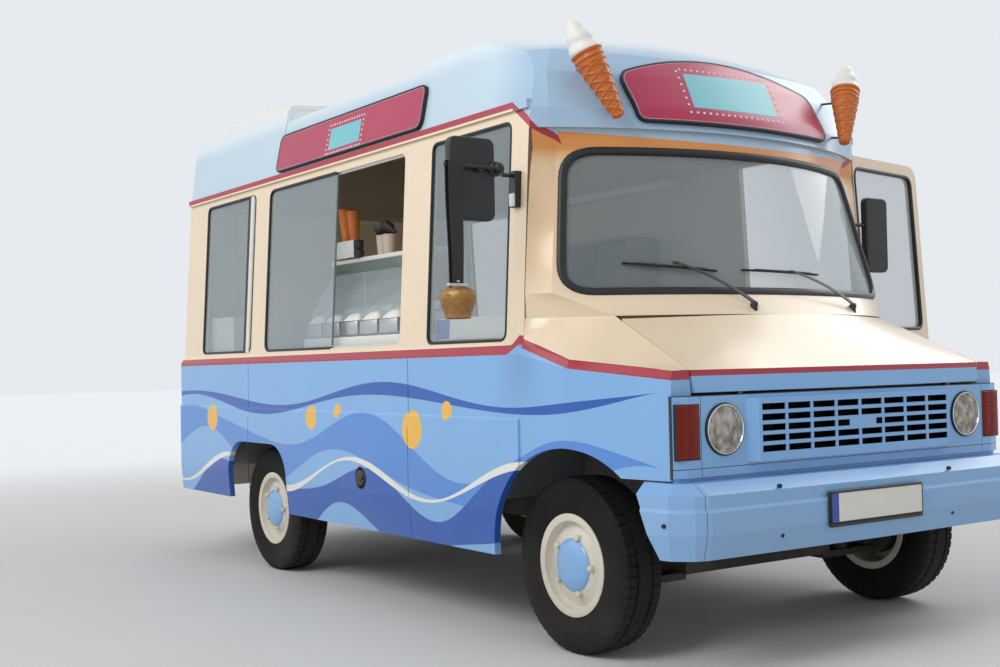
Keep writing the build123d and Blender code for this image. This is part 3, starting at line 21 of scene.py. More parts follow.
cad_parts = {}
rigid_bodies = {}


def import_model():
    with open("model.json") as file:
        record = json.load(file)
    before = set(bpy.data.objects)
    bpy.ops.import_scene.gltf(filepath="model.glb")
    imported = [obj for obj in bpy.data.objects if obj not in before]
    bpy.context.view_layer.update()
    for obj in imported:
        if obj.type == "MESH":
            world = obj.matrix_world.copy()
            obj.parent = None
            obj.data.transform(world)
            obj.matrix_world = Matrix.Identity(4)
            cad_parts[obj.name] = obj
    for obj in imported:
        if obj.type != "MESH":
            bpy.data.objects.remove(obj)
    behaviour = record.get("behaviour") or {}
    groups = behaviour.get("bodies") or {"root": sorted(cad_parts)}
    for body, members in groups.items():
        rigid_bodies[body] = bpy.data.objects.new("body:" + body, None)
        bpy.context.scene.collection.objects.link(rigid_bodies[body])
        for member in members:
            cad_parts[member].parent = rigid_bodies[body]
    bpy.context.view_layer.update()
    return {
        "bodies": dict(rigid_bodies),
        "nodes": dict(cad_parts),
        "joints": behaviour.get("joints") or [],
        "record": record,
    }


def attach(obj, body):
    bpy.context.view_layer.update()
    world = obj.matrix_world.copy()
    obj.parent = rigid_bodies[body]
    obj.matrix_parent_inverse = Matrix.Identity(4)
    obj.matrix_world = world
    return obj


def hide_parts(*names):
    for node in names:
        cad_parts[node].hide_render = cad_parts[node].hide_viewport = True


log = logging.getLogger("truck")
Array = np.ndarray
Shape = tuple[Array, list]
Point = tuple[float, float, float]
Span = tuple[float, float]
Colour = tuple[float, float, float]
Face = Callable[[Array, float], Array]
Socket = bpy.types.NodeSocket
Sockets = bpy.types.bpy_prop_collection

SHIFT = np.array([1598.0, -158.0, 0.0])
WHEELBASE = 2692.0
WHEEL_Y = 857.5
TYRE_R = 338.0
SIDE_LINE = ((1030, 345), (1045, 525), (1045, 890), (1037, 900), (1037, 1150), (1010, 1195), (955, 2130))
SIGN_LINE = ((967.5, 2070), (885.0, 2465))
REAR_X = -3815.0
DOOR_HINGE = (-191.0, 1053.0)
DOOR_OPEN = 79.0
COAT_ROUGHNESS = 0.16


class Side(Enum):
    """A side of the truck, as the sign of its y."""

    RIGHT = -1
    LEFT = 1


WHEELS = (("front_right", 0.0, Side.RIGHT), ("front_left", 0.0, Side.LEFT),
          ("rear_right", -WHEELBASE, Side.RIGHT), ("rear_left", -WHEELBASE, Side.LEFT))


# Points and shapes
def place(points: Array) -> Array:
    """Moves points from the truck's axes in millimetres to the shared frame in metres."""
    return (np.asarray(points, float) + SHIFT) / 1000.0


def srgb(red: int, green: int, blue: int) -> Colour:
    """Turns an 8-bit display colour into the linear colour that materials use."""
    value = np.array([red, green, blue], float) / 255.0
    linear = np.where(value <= 0.04045, value / 12.92, ((value + 0.055) / 1.055) ** 2.4)
    return tuple(float(v) for v in linear)


def unit(vectors: Array) -> Array:
    """Scales vectors to length 1."""
    vectors = np.asarray(vectors, float)
    return vectors / np.maximum(np.linalg.norm(vectors, axis=-1, keepdims=True), 1e-9)


def points_of(*parts: Array) -> Array:
    """Joins coordinates of any matching shapes to an array of points."""
    return np.stack(np.broadcast_arrays(*parts), axis=-1)


def grid(points: Array, wrap_u: bool = False, wrap_v: bool = True, cap: bool = True) -> Shape:
    """Joins a grid of points into quads.

    Args:
        points: Array of rows by columns by 3.
        wrap_u: Whether the last row joins the first.
        wrap_v: Whether the last column joins the first.
        cap: Whether the first and last rows are closed by a face.

    Returns:
        The vertices and the faces as index lists.
    """
    rows, columns = points.shape[:2]
    index = np.arange(rows * columns).reshape(rows, columns)
    if wrap_u:
        index = np.vstack([index, index[:1]])
    if wrap_v:
        index = np.hstack([index, index[:, :1]])
    quads = np.stack([index[:-1, :-1], index[1:, :-1], index[1:, 1:], index[:-1, 1:]], axis=-1).reshape(-1, 4)
    faces = quads.tolist()
    if cap and wrap_v and not wrap_u:
        faces.append(list(range(columns))[::-1])
        faces.append(list(range((rows - 1) * columns, rows * columns)))
    return points.reshape(-1, 3), faces


def full_turn(sides: int) -> Array:
    """Evenly spaced angles of a full turn."""
    return np.linspace(0, 2 * np.pi, sides, endpoint=False)


def square(count: int) -> tuple[Array, Array]:
    """Even steps from -1 to 1 down a column (u) and along a row (v)."""
    steps = np.linspace(-1, 1, count)
    return steps[:, None], steps[None, :]


def circle(radius: float, sides: int) -> Array:
    """Points of a circle: radius times the cosine and sine of evenly spaced angles."""
    angle = full_turn(sides)
    return radius * np.stack([np.cos(angle), np.sin(angle)], axis=-1)


def sweep(path: Array, profile: Array, up: Array, scale: Array | None = None) -> Shape:
    """Carries a closed profile along a path.

    Each station's point is path + a * side + b * normal, where side is the path's direction crossed with up
    and normal is side crossed with that direction.

    Args:
        path: Stations, N by 3.
        profile: Corners (a, b) of the profile, P by 2.
        up: One direction, or one for each station.
        scale: Factor on the profile at each station.

    Returns:
        The vertices and faces of the swept solid.
    """
    path = np.asarray(path, float)
    profile = np.asarray(profile, float)
    along = unit(np.gradient(path, axis=0))
    side = unit(np.cross(along, np.broadcast_to(up, path.shape)))
    normal = np.cross(side, along)
    size = np.ones(len(path)) if scale is None else np.asarray(scale, float)
    offset = side[:, None] * profile[None, :, :1] + normal[:, None] * profile[None, :, 1:]
    return grid(path[:, None] + offset * size[:, None, None])


def tube(path: Array, radius: float, up: Array = (0, 0, 1), sides: int = 10) -> Shape:
    """A round rod along a path."""
    return sweep(path, circle(radius, sides), up)


def spin(profile: Array, origin: Array, axis: Array, sides: int = 48, ring: bool = False) -> Shape:
    """Turns a profile of (radius, height) about an axis through an origin.

    A point is origin + height * axis + radius * (cos * first + sin * second), with first and second square to
    the axis. A ring's profile is a closed loop.
    """
    axis = unit(axis)
    first = unit(np.cross(axis, (0, 0, 1) if abs(axis[2]) < 0.9 else (1, 0, 0)))
    second = np.cross(axis, first)
    turn = circle(1.0, sides)
    around = turn[:, :1] * first + turn[:, 1:] * second
    profile = np.asarray(profile, float)
    points = np.asarray(origin, float) + profile[:, None, 1:] * axis + profile[:, None, :1] * around[None]
    return grid(points, wrap_u=ring)


def soft_box(low: Array, high: Array, r: float, steps: int = 3) -> Shape:
    """A box with rounded edges: the corner of a smaller box plus r times a direction on a sphere."""
    low, high = np.asarray(low, float), np.asarray(high, float)
    half = (high - low) / 2
    r = min(r, float(half.min()) * 0.99)
    quarter = np.linspace(0, np.pi / 2, steps + 1)
    around = np.concatenate([quarter + turn * np.pi / 2 for turn in range(4)])
    sign = np.repeat([(1, 1), (-1, 1), (-1, -1), (1, -1)], steps + 1, axis=0)
    rise = np.concatenate([quarter - np.pi / 2, quarter])[:, None]
    lift = np.repeat([-1, 1], steps + 1)[:, None]
    direction = points_of(np.cos(rise) * np.cos(around), np.cos(rise) * np.sin(around), np.sin(rise))
    corner = points_of(sign[:, 0], sign[:, 1], lift) * (half - r)
    return grid((low + high) / 2 + corner + r * direction)


def curve(start: Array, corner: Array, end: Array, t: Array) -> Array:
    """Points of a curve between two ends: (1 - t)^2 start + 2 t (1 - t) corner + t^2 end."""
    return (1 - t) ** 2 * start + 2 * t * (1 - t) * corner + t**2 * end


def bend(start: Array, corner: Array, end: Array) -> Array:
    """Eight points of a curve from start to end that leans towards the corner."""
    return curve(*(np.array(at, float) for at in (start, corner, end)), np.linspace(0, 1, 8)[:, None])


def rounded(corners: Array, radius: float, steps: int = 6) -> Array:
    """Rounds the corners of a convex outline given anticlockwise, each by a curve between its sides."""
    corners = np.asarray(corners, float)
    start = corners + unit(np.roll(corners, 1, 0) - corners) * radius
    end = corners + unit(np.roll(corners, -1, 0) - corners) * radius
    t = np.linspace(0, 1, steps)[None, :, None]
    return curve(start[:, None], corners[:, None], end[:, None], t).reshape(-1, corners.shape[1])


def measured(line: Array, closed: bool) -> tuple[Array, Array]:
    """A line's points, with a loop's first again at its end, and how far along the line each lies."""
    points = np.vstack([line, line[:1]]) if closed else np.asarray(line, float)
    return points, np.concatenate([[0], np.cumsum(np.linalg.norm(np.diff(points, axis=0), axis=1))])


def along_line(at: Array, length: Array, points: Array) -> Array:
    """Points at given distances along a measured line."""
    return np.stack([np.interp(at, length, points[:, i]) for i in range(points.shape[1])], axis=-1)


def spread(loop: Array, count: int) -> Array:
    """Spaces points evenly round a loop."""
    points, length = measured(loop, True)
    return along_line(np.linspace(0, length[-1], count, endpoint=False), length, points)


def refine(line: Array, step: float, closed: bool = True) -> Array:
    """Adds points to a line or loop until none are further apart than a step, and keeps those it has."""
    points, length = measured(line, closed)
    at = np.unique(np.concatenate([length, np.arange(0, length[-1], step)]))
    at = at[np.concatenate([[True], np.diff(at) > 0.5])]
    return along_line(at[:-1] if closed else at, length, points)


def rectangle(x: Span, y: Span) -> Array:
    """Corners of a rectangle, anticlockwise."""
    return np.array([(x[0], y[0]), (x[1], y[0]), (x[1], y[1]), (x[0], y[1])], float)


def panel(x: Span, y: Span, radius: float, steps: int = 6, step: float = 60.0) -> Array:
    """A dense outline of a rectangle with rounded corners."""
    return refine(rounded(rectangle(x, y), radius, steps), step)


def left_of(along: Array) -> Array:
    """Unit directions to the left of flat ones."""
    along = unit(along)
    return np.stack([-along[:, 1], along[:, 0]], axis=-1)


def inset(outline: Array, depth: float) -> Array:
    """Moves a dense anticlockwise outline inwards along its normals."""
    return outline + depth * left_of(np.roll(outline, -1, 0) - np.roll(outline, 1, 0))


def sheet_on(outline: Array, face: Face, thick: float, edge: float = 1.5) -> Shape:
    """A plate over a curved face: rings of the outline at rising offsets, closed in the middle.

    Args:
        outline: Dense anticlockwise outline (a, b).
        face: Gives points of a face for (a, b) and an offset outwards.
        thick: Thickness of the plate.
        edge: Rounding of its outer edge.

    Returns:
        The vertices and faces.
    """
    middle = outline.mean(axis=0)
    edged = inset(outline, edge)
    back = [face(middle + (outline - middle) * share, 0.0) for share in (0.02, 0.35, 0.7)]
    rings = [face(outline, 0.0), face(outline, thick - edge), face(edged, thick)]
    rings += [face(middle + (edged - middle) * share, thick) for share in (0.85, 0.7, 0.5, 0.3, 0.15, 0.02)]
    return grid(np.stack(back + rings))


def bead(outline: Array, face: Face, section: Array) -> Shape:
    """Carries a closed section of (inwards, outwards) offsets round an outline on a face."""
    return grid(np.stack([face(inset(outline, depth), lift) for depth, lift in section]), wrap_u=True)


def strip(line: Array, face: Face, section: Array) -> Shape:
    """Carries a closed section of (sideways, outwards) offsets along an open line on a face."""
    across = left_of(np.gradient(np.asarray(line, float), axis=0))
    return grid(np.stack([face(line + across * aside, lift) for aside, lift in section], axis=1))


def slab(front: Array, back: Array) -> Shape:
    """Closes a front and a back of the same rows to a solid."""
    return grid(np.concatenate([front, back[:, ::-1]], axis=1))


def lifted(face: Face, by: float) -> Face:
    """The same face, moved outwards."""
    return lambda flat, lift: face(flat, lift + by)


def slope(height: Callable[[Array], Array], at: Array) -> Array:
    """Slope of a height at each place, over 4 mm."""
    return (height(at + 2) - height(at - 2)) / 4


@dataclass(frozen=True)
class FrontFace:
    """A face that curves across the truck's front, from rows of (z, centre x, corner x, corner y).

    x = centre - R + sqrt(R^2 - y^2), where R = (corner_y^2 + s^2) / (2 s) and s = centre - corner_x. Each of
    these is read between the rows at z.
    """

    rows: tuple[tuple[float, float, float, float], ...]

    def depth(self, y: Array, z: Array) -> Array:
        """The face's x."""
        table = np.array(self.rows, float)
        centre, corner_x, corner_y = (np.interp(z, table[:, 0], table[:, i]) for i in (1, 2, 3))
        sag = centre - corner_x
        radius = (corner_y**2 + sag**2) / (2 * sag)
        return centre - radius + np.sqrt(np.maximum(radius**2 - y**2, 1.0))

    def __call__(self, flat: Array, lift: float) -> Array:
        """Points of the face for (y, z), moved outwards."""
        y, z = flat[..., 0], flat[..., 1]
        x = self.depth(y, z)
        slopes = slope(lambda at: self.depth(at, z), y), slope(lambda at: self.depth(y, at), z)
        normal = unit(points_of(1.0, -slopes[0], -slopes[1]))
        return points_of(x, y, z) + lift * normal


@dataclass(frozen=True)
class SideFace:
    """A side of the body, from corners of (half width, z)."""

    side: Side
    line: tuple[Span, ...] = SIDE_LINE

    def __call__(self, flat: Array, lift: float) -> Array:
        """Points of the side for (x, z), moved outwards."""
        table = np.array(self.line, float)
        x, z = flat[..., 0], flat[..., 1]
        half = partial(np.interp, xp=table[:, 1], fp=table[:, 0])
        normal = unit(points_of(0.0, 1.0, -slope(half, z)))
        return (points_of(x, half(z), z) + lift * normal) * (1, self.side.value, 1)


@dataclass(frozen=True)
class FlatFace:
    """An upright face across the truck at x, which looks ahead (way 1) or back (way -1)."""

    x: float
    way: int = 1

    def __call__(self, flat: Array, lift: float) -> Array:
        """Points of the face for (y, z), moved outwards."""
        y, z = flat[..., 0], flat[..., 1]
        return points_of(self.x + self.way * lift, y, z)


CAB_FACE = FrontFace(((1290, 328, 92, 774), (1385, 232, -66, 958), (1965, 84, -168, 842), (2050, 60, -158, 866)))
ROOF_FACE = FrontFace(((2050, 78, -140, 884), (2130, 44, -140, 896), (2290, -66, -195, 860), (2400, -150, -262, 790),
                       (2456, -232, -330, 600)))
RIGHT_FACE = SideFace(Side.RIGHT)
LEFT_FACE = SideFace(Side.LEFT)
REAR_FACE = FlatFace(REAR_X, -1)


def turn_door(points: Array) -> Array:
    """Moves points of the shut door to its open place about the hinge."""
    angle = -math.radians(DOOR_OPEN)
    x = points[..., 0] - DOOR_HINGE[0]
    y = points[..., 1] - DOOR_HINGE[1]
    return points_of(x * math.cos(angle) - y * math.sin(angle) + DOOR_HINGE[0],
                     x * math.sin(angle) + y * math.cos(angle) + DOOR_HINGE[1], points[..., 2])


class Piece:
    """Collects surfaces and makes one object of them."""

    def __init__(self, name: str, finish: Finish, body: str = "body", crease: float = 35.0) -> None:
        """Starts an empty piece.

        Args:
            name: Name of the object.
            finish: Its finish.
            body: The body that it rides on.
            crease: Angle in degrees above which an edge stays sharp.
        """
        self.name, self.finish, self.body, self.crease = name, finish, body, crease
        self.points: list[Array] = []
        self.faces: list[list[int]] = []
        self.count = 0

    def add(self, shape: Shape) -> Piece:
        """Adds one surface."""
        points, faces = shape
        self.points.append(points)
        self.faces.extend([[i + self.count for i in face] for face in faces])
        self.count += len(points)
        return self

    def both(self, shape: Shape) -> Piece:
        """Adds a surface and its mirror image across the centre plane."""
        points, faces = shape
        self.add(shape)
        return self.add((points * (1, -1, 1), [face[::-1] for face in faces]))

    def boxes(self, *rows: tuple) -> Piece:
        """Adds soft boxes, each a row of lowest corner, highest corner, edge radius and at will steps."""
        for row in rows:
            self.add(soft_box(*row))
        return self

    def swing(self) -> Piece:
        """Moves all that was added to the open door's place."""
        self.points = [turn_door(points) for points in self.points]
        return self

    def done(self, replaces: tuple[str, ...] = ()) -> bpy.types.Object:
        """Makes the object, with doubles merged and its normals turned outwards.

        Args:
            replaces: CAD nodes that the piece stands for.

        Returns:
            The new object.
        """
        mesh = bpy.data.meshes.new(self.name)
        mesh.from_pydata(place(np.vstack(self.points)).tolist(), [], self.faces)
        work = bmesh.new()
        work.from_mesh(mesh)
        bmesh.ops.remove_doubles(work, verts=work.verts, dist=2e-5)
        bmesh.ops.dissolve_degenerate(work, edges=work.edges, dist=1e-6)
        bmesh.ops.recalc_face_normals(work, faces=work.faces)
        work.to_mesh(mesh)
        work.free()
        mesh.polygons.foreach_set("use_smooth", np.ones(len(mesh.polygons), bool))
        mesh.set_sharp_from_angle(angle=math.radians(self.crease))
        mesh.materials.append(self.finish.material())
        made = bpy.data.objects.new(self.name, mesh)
        bpy.context.scene.collection.objects.link(made)
        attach(made, self.body)
        if replaces:
            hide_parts(*replaces)
        log.info("%s: %d faces", self.name, len(mesh.polygons))
        return made


# Shader building
class Nodes:
    """Short calls for the nodes of one tree."""

    def __init__(self, tree: bpy.types.NodeTree) -> None:
        """Keeps the tree."""
        self.tree = tree

    def new(self, kind: str, **inputs: object) -> bpy.types.Node:
        """Adds a shader node of a kind and fills its inputs."""
        return self.fill(self.tree.nodes.new("ShaderNode" + kind), **inputs)

    def fill(self, node: bpy.types.Node, **inputs: object) -> bpy.types.Node:
        """Sets or links a node's inputs by name, with underscores for spaces."""
        for name, value in inputs.items():
            self.put(node.inputs[name.replace("_", " ")], value)
        return node

    def put(self, socket: Socket, value: object) -> None:
        """Links a socket to an output, or sets its value."""
        if isinstance(value, Socket):
            self.tree.links.new(value, socket)
        elif isinstance(value, tuple) and len(value) == 3 and socket.type == "RGBA":
            socket.default_value = (*value, 1.0)
        else:
            socket.default_value = value

    def math(self, operation: str, *values: object, clamp: bool = False) -> Socket:
        """One sum on numbers."""
        node = self.new("Math")
        node.operation = operation
        node.use_clamp = clamp
        for socket, value in zip(node.inputs, values):
            self.put(socket, value)
        return node.outputs[0]

    def mix(self, share: object, first: object, second: object) -> Socket:
        """A mix of two colours."""
        node = self.new("Mix")
        node.data_type = "RGBA"
        self.put(node.inputs["Factor"], share)
        self.put(node.inputs[6], first)
        self.put(node.inputs[7], second)
        return node.outputs[2]

    def where(self, turned: Point = (0, 0, 0), shift: Point = (0, 0, 0)) -> Socket:
        """Object coordinates, moved and turned by a Mapping node."""
        source = self.new("TexCoord").outputs["Object"]
        return self.new("Mapping", Vector=source, Location=shift, Rotation=turned).outputs[0]

    def axes(self, vector: Socket) -> tuple[Socket, ...]:
        """The x, y and z of a vector."""
        return tuple(self.new("SeparateXYZ", Vector=vector).outputs)

    def truck(self) -> tuple[Socket, ...]:
        """The point's x, y and z in the truck's own axes, in metres."""
        return self.axes(self.where(shift=(-SHIFT[0] / 1000, -SHIFT[1] / 1000, 0.0)))

    def noise(self, vector: Socket, scale: object, detail: float = 4.0) -> Socket:
        """Noise from 0 to 1."""
        return self.new("TexNoise", Vector=vector, Scale=scale, Detail=detail).outputs[0]

    def step(self, value: object, low: float, high: float) -> Socket:
        """A soft step from 0 at low to 1 at high."""
        node = self.new("MapRange", Value=value, From_Min=low, From_Max=high)
        node.interpolation_type = "SMOOTHSTEP"
        return node.outputs[0]

    def inside(self, distance: object, soft: float = 0.0006) -> Socket:
        """1 where a distance to an edge is below 0, with a narrow soft edge."""
        return self.step(distance, soft, -soft)

    def off(self, value: object, centre: object) -> Socket:
        """How far a value lies from a centre."""
        return self.math("ABSOLUTE", self.math("SUBTRACT", value, centre))

    def reach(self, x: object, y: object) -> Socket:
        """Length of the flat vector (x, y)."""
        return self.math("SQRT", self.math("ADD", self.math("MULTIPLY", x, x), self.math("MULTIPLY", y, y)))

    def wave(self, x: object, base: float, rise: float, length: float, shift: float, slope: float = 0.0) -> Socket:
        """A height: base + slope * x + rise * sin(2 pi x / length + shift)."""
        turn = self.math("SINE", self.math("MULTIPLY_ADD", x, 2 * math.pi / length, shift))
        return self.math("ADD", self.math("MULTIPLY_ADD", x, slope, base), self.math("MULTIPLY", turn, rise))


@dataclass(frozen=True)
class Effect:
    """A node group that several finishes share: made once, and placed in each material with its own values."""

    name: str
    inputs: dict[str, object]
    outputs: dict[str, str]
    wire: Callable[[Nodes, Sockets], dict[str, Socket]]

    def tree(self) -> bpy.types.NodeTree:
        """Makes the group's tree, or finds the one that was made."""
        made = bpy.data.node_groups.get(self.name)
        if made is None:
            made = bpy.data.node_groups.new(self.name, "ShaderNodeTree")
            for label, value in self.inputs.items():
                kind = "NodeSocketFloat" if isinstance(value, float) else "NodeSocketColor"
                made.interface.new_socket(label, in_out="INPUT", socket_type=kind).default_value = value
            for label, kind in self.outputs.items():
                made.interface.new_socket(label, in_out="OUTPUT", socket_type=kind)
            n = Nodes(made)
            source = made.nodes.new("NodeGroupInput").outputs
            out = made.nodes.new("NodeGroupOutput").inputs
            for label, value in self.wire(n, source).items():
                n.put(out[label], value)
        return made

    def on(self, n: Nodes, **values: object) -> Sockets:
        """Places the group in a tree, with values or links on its inputs, and gives its outputs."""
        node = n.new("Group")
        node.node_tree = self.tree()
        return n.fill(node, **values).outputs


def wire_dust(n: Nodes, source: Sockets) -> dict[str, Socket]:
    """Road dust that thickens towards the ground and gathers in patches, with the roughness it leaves."""
    at = n.where()
    low = n.math("SUBTRACT", 1.0, n.math("DIVIDE", n.axes(at)[2], source["Top"]), clamp=True)
    patch = n.step(n.noise(at, source["Scale"], 6.0), 0.35, 0.7)
    cover = n.math("ADD", patch, n.noise(at, 60.0, 3.0))
    share = n.math("MULTIPLY", n.math("MULTIPLY", low, source["Amount"]), cover, clamp=True)
    return {"Colour": n.mix(share, source["Colour"], source["Dust"]),
            "Roughness": n.math("MULTIPLY_ADD", share, 0.5, source["Roughness"], clamp=True)}


def wire_relief(n: Nodes, source: Sockets) -> dict[str, Socket]:
    """A fine relief of two noises, such as orange peel in paint or grain in plastic."""
    at = n.where()
    broad = n.math("MULTIPLY", n.noise(at, 2.2, 2.0), source["Broad"])
    height = n.math("ADD", n.noise(at, source["Scale"], 2.0), broad)
    bump = n.new("Bump", Strength=source["Strength"], Distance=source["Depth"], Height=height)
    return {"Normal": bump.outputs[0]}


def wire_mottle(n: Nodes, source: Sockets) -> dict[str, Socket]:
    """Broad mottling of a colour between a darker and a lighter tone."""
    cloud = n.noise(n.where(), source["Scale"], 5.0)
    value = n.math("MULTIPLY_ADD", n.math("SUBTRACT", cloud, 0.5), source["Amount"], 1.0)
    return {"Colour": n.new("HueSaturation", Color=source["Colour"], Value=value).outputs[0]}


def wire_inner(n: Nodes, source: Sockets) -> dict[str, Socket]:
    """1 on faces that look into the body: where the normal leans towards the body's long middle box."""
    x, y, z = n.truck()
    aside = n.math("SUBTRACT", x, n.math("MINIMUM", n.math("MAXIMUM", x, -3.6), -0.5))
    nx, ny, nz = n.axes(n.new("NewGeometry").outputs["Normal"])
    total = n.math("MULTIPLY", n.math("SUBTRACT", z, source["Low"]), nz)
    total = n.math("MULTIPLY_ADD", aside, nx, n.math("MULTIPLY_ADD", y, ny, total))
    return {"Mask": n.math("LESS_THAN", total, -0.02)}


GREY = (0.5, 0.5, 0.5, 1)
COLOUR, NUMBER, DIRECTION = "NodeSocketColor", "NodeSocketFloat", "NodeSocketVector"
DUST = Effect("Road dust", {"Colour": GREY, "Roughness": 0.4, "Amount": 0.3, "Dust": (0.32, 0.28, 0.23, 1), "Top": 0.9,
                            "Scale": 3.0}, {"Colour": COLOUR, "Roughness": NUMBER}, wire_dust)
RELIEF = Effect("Fine relief", {"Scale": 200.0, "Strength": 0.1, "Depth": 0.001, "Broad": 0.3}, {"Normal": DIRECTION},
                wire_relief)
MOTTLE = Effect("Mottle", {"Colour": GREY, "Amount": 0.1, "Scale": 5.0}, {"Colour": COLOUR}, wire_mottle)
INNER = Effect("Inner side", {"Low": 1.4}, {"Mask": NUMBER}, wire_inner)


@dataclass(frozen=True)
class Finish:
    """A finish with one main colour, its mottling, relief and road dust."""

    name: str
    colour: Colour
    roughness: float = 0.4
    metallic: float = 0.0
    coat: float = 0.0
    specular: float = 0.5
    mottle: float = 0.08
    patch: float = 4.0
    relief: float = 0.05
    grain: float = 250.0
    dust: float = 0.0
    dust_top: float = 0.9

    def colours(self, n: Nodes) -> Socket | Colour:
        """The colour before mottling and dust."""
        return self.colour

    def shape(self, n: Nodes, shader: bpy.types.Node) -> None:
        """Sets the shader's own sockets."""
        n.fill(shader, Metallic=self.metallic, Specular_IOR_Level=self.specular, Coat_Weight=self.coat,
               Coat_Roughness=COAT_ROUGHNESS)

    def material(self) -> bpy.types.Material:
        """Makes the material once, and gives it again after that."""
        made = bpy.data.materials.get(self.name)
        if made is not None:
            return made
        made = bpy.data.materials.new(self.name)
        made.use_nodes = True
        made.diffuse_color = (*self.colour, 1.0)
        tree = made.node_tree
        tree.nodes.clear()
        n = Nodes(tree)
        shader = n.new("BsdfPrincipled")
        n.new("OutputMaterial", Surface=shader.outputs[0])
        mottled = MOTTLE.on(n, Colour=self.colours(n), Amount=self.mottle, Scale=self.patch)
        dusty = DUST.on(n, Colour=mottled["Colour"], Roughness=self.roughness, Amount=self.dust, Top=self.dust_top)
        grain = RELIEF.on(n, Scale=self.grain, Strength=self.relief)
        n.fill(shader, Base_Color=dusty["Colour"], Roughness=dusty["Roughness"], Normal=grain["Normal"])
        self.shape(n, shader)
        return made


@dataclass(frozen=True)
class Glass(Finish):
    """Clear or tinted glass, thin enough not to bend the view, with a pale sheen that grows at a slant: a pale colour
    that the alpha lets show is a painted reflection.
    """

    clear: float = 0.86
    sheen: float = 0.0

    def shape(self, n: Nodes, shader: bpy.types.Node) -> None:
        """Makes the pane thin, by an alpha that may grow at a slant, so that more of the painted reflection shows
        there.
        """
        alpha: object = 1.0 - self.clear
        if self.sheen:
            facing = n.new("LayerWeight", Blend=0.5).outputs["Facing"]
            alpha = n.math("MULTIPLY_ADD", facing, self.sheen, alpha)
        n.fill(shader, Alpha=alpha)


@dataclass(frozen=True)
class LampGlass(Glass):
    """Pressed lamp glass over its bowl, with soft bright and dull patches of painted reflection."""

    def colours(self, n: Nodes) -> Socket:
        """Noise a little stretched, between a dull and a bright warm grey: painted reflections."""
        at = n.new("Mapping", Vector=n.where(), Scale=(14.0, 34.0, 24.0)).outputs[0]
        return n.mix(n.step(n.noise(at, 1.0, 6.0), 0.3, 0.72), srgb(136, 124, 110), srgb(236, 230, 222))


CREAM = srgb(243, 222, 192)
CAB_CREAM = srgb(236, 204, 164)
BROW = srgb(224, 148, 74)
INTERIOR = srgb(232, 222, 204)
# Darker than the wall lining: painted shade on the ceiling inside.
SHADED_CEILING = srgb(196, 178, 156)
LIGHT_BLUE = srgb(132, 182, 232)
PALE_BLUE = srgb(196, 218, 233)
# Deeper blue for the roof's front and the edges next to it: painted shade, where the front of the roof lies in shade.
SHADED_ROOF_FRONT = srgb(170, 199, 226)
# Near white towards the roof's top: a painted highlight, where light from above falls on it.
LIT_CROWN = srgb(226, 238, 243)
DEEP_BLUE = srgb(26, 90, 180)
MID_BLUE = srgb(84, 142, 218)
CRIMSON = srgb(172, 24, 50)
YELLOW = srgb(244, 188, 70)
WHITE = srgb(236, 236, 230)
# Near black for joints, and for painted shade on the walls inside openings.
JOINT_AND_SHADE = srgb(7, 9, 15)
POST_SEAM = srgb(112, 74, 52)

# Each ribbon: colour, base, rise, length, shift and slope of its wave, and half its width; each disc: x, z, radius
RIBBONS = ((MID_BLUE, 0.66, 0.10, 1.9, 0.4, -0.02, 0.085), (DEEP_BLUE, 0.49, 0.085, 1.45, 2.2, 0.03, 0.10),
           (WHITE, 0.635, 0.085, 1.45, 2.2, 0.03, 0.012), (DEEP_BLUE, 0.98, 0.05, 2.3, 5.2, 0.015, 0.022))
DISCS = ((-3.3, 0.83, 0.075), (-2.0, 0.86, 0.06), (-1.72, 0.9, 0.035), (-1.0, 0.83, 0.085), (-0.72, 0.92, 0.04))


def with_gutter(n: Nodes, x: object, z: object, above: object, below: object) -> Socket:
    """Parts a roof colour from a body colour by the crimson gutter line.

    The line's top is at 2.166 - 0.76 max(x + 0.285, 0) - 1.18 max(x + 0.188, 0). It is 26 mm wide, and 38 mm
    where it falls.
    """
    fall = n.math("MAXIMUM", n.math("ADD", x, 0.285), 0.0)
    steeper = n.math("MAXIMUM", n.math("ADD", x, 0.188), 0.0)
    top = n.math("MULTIPLY_ADD", steeper, -1.18, n.math("MULTIPLY_ADD", fall, -0.76, 2.166))
    wide = n.math("MULTIPLY_ADD", n.step(fall, 0.0, 0.004), 0.012, 0.026)
    colour = n.mix(n.inside(n.math("SUBTRACT", z, top)), above, CRIMSON)
    return n.mix(n.inside(n.math("SUBTRACT", z, n.math("SUBTRACT", top, wide))), colour, below)


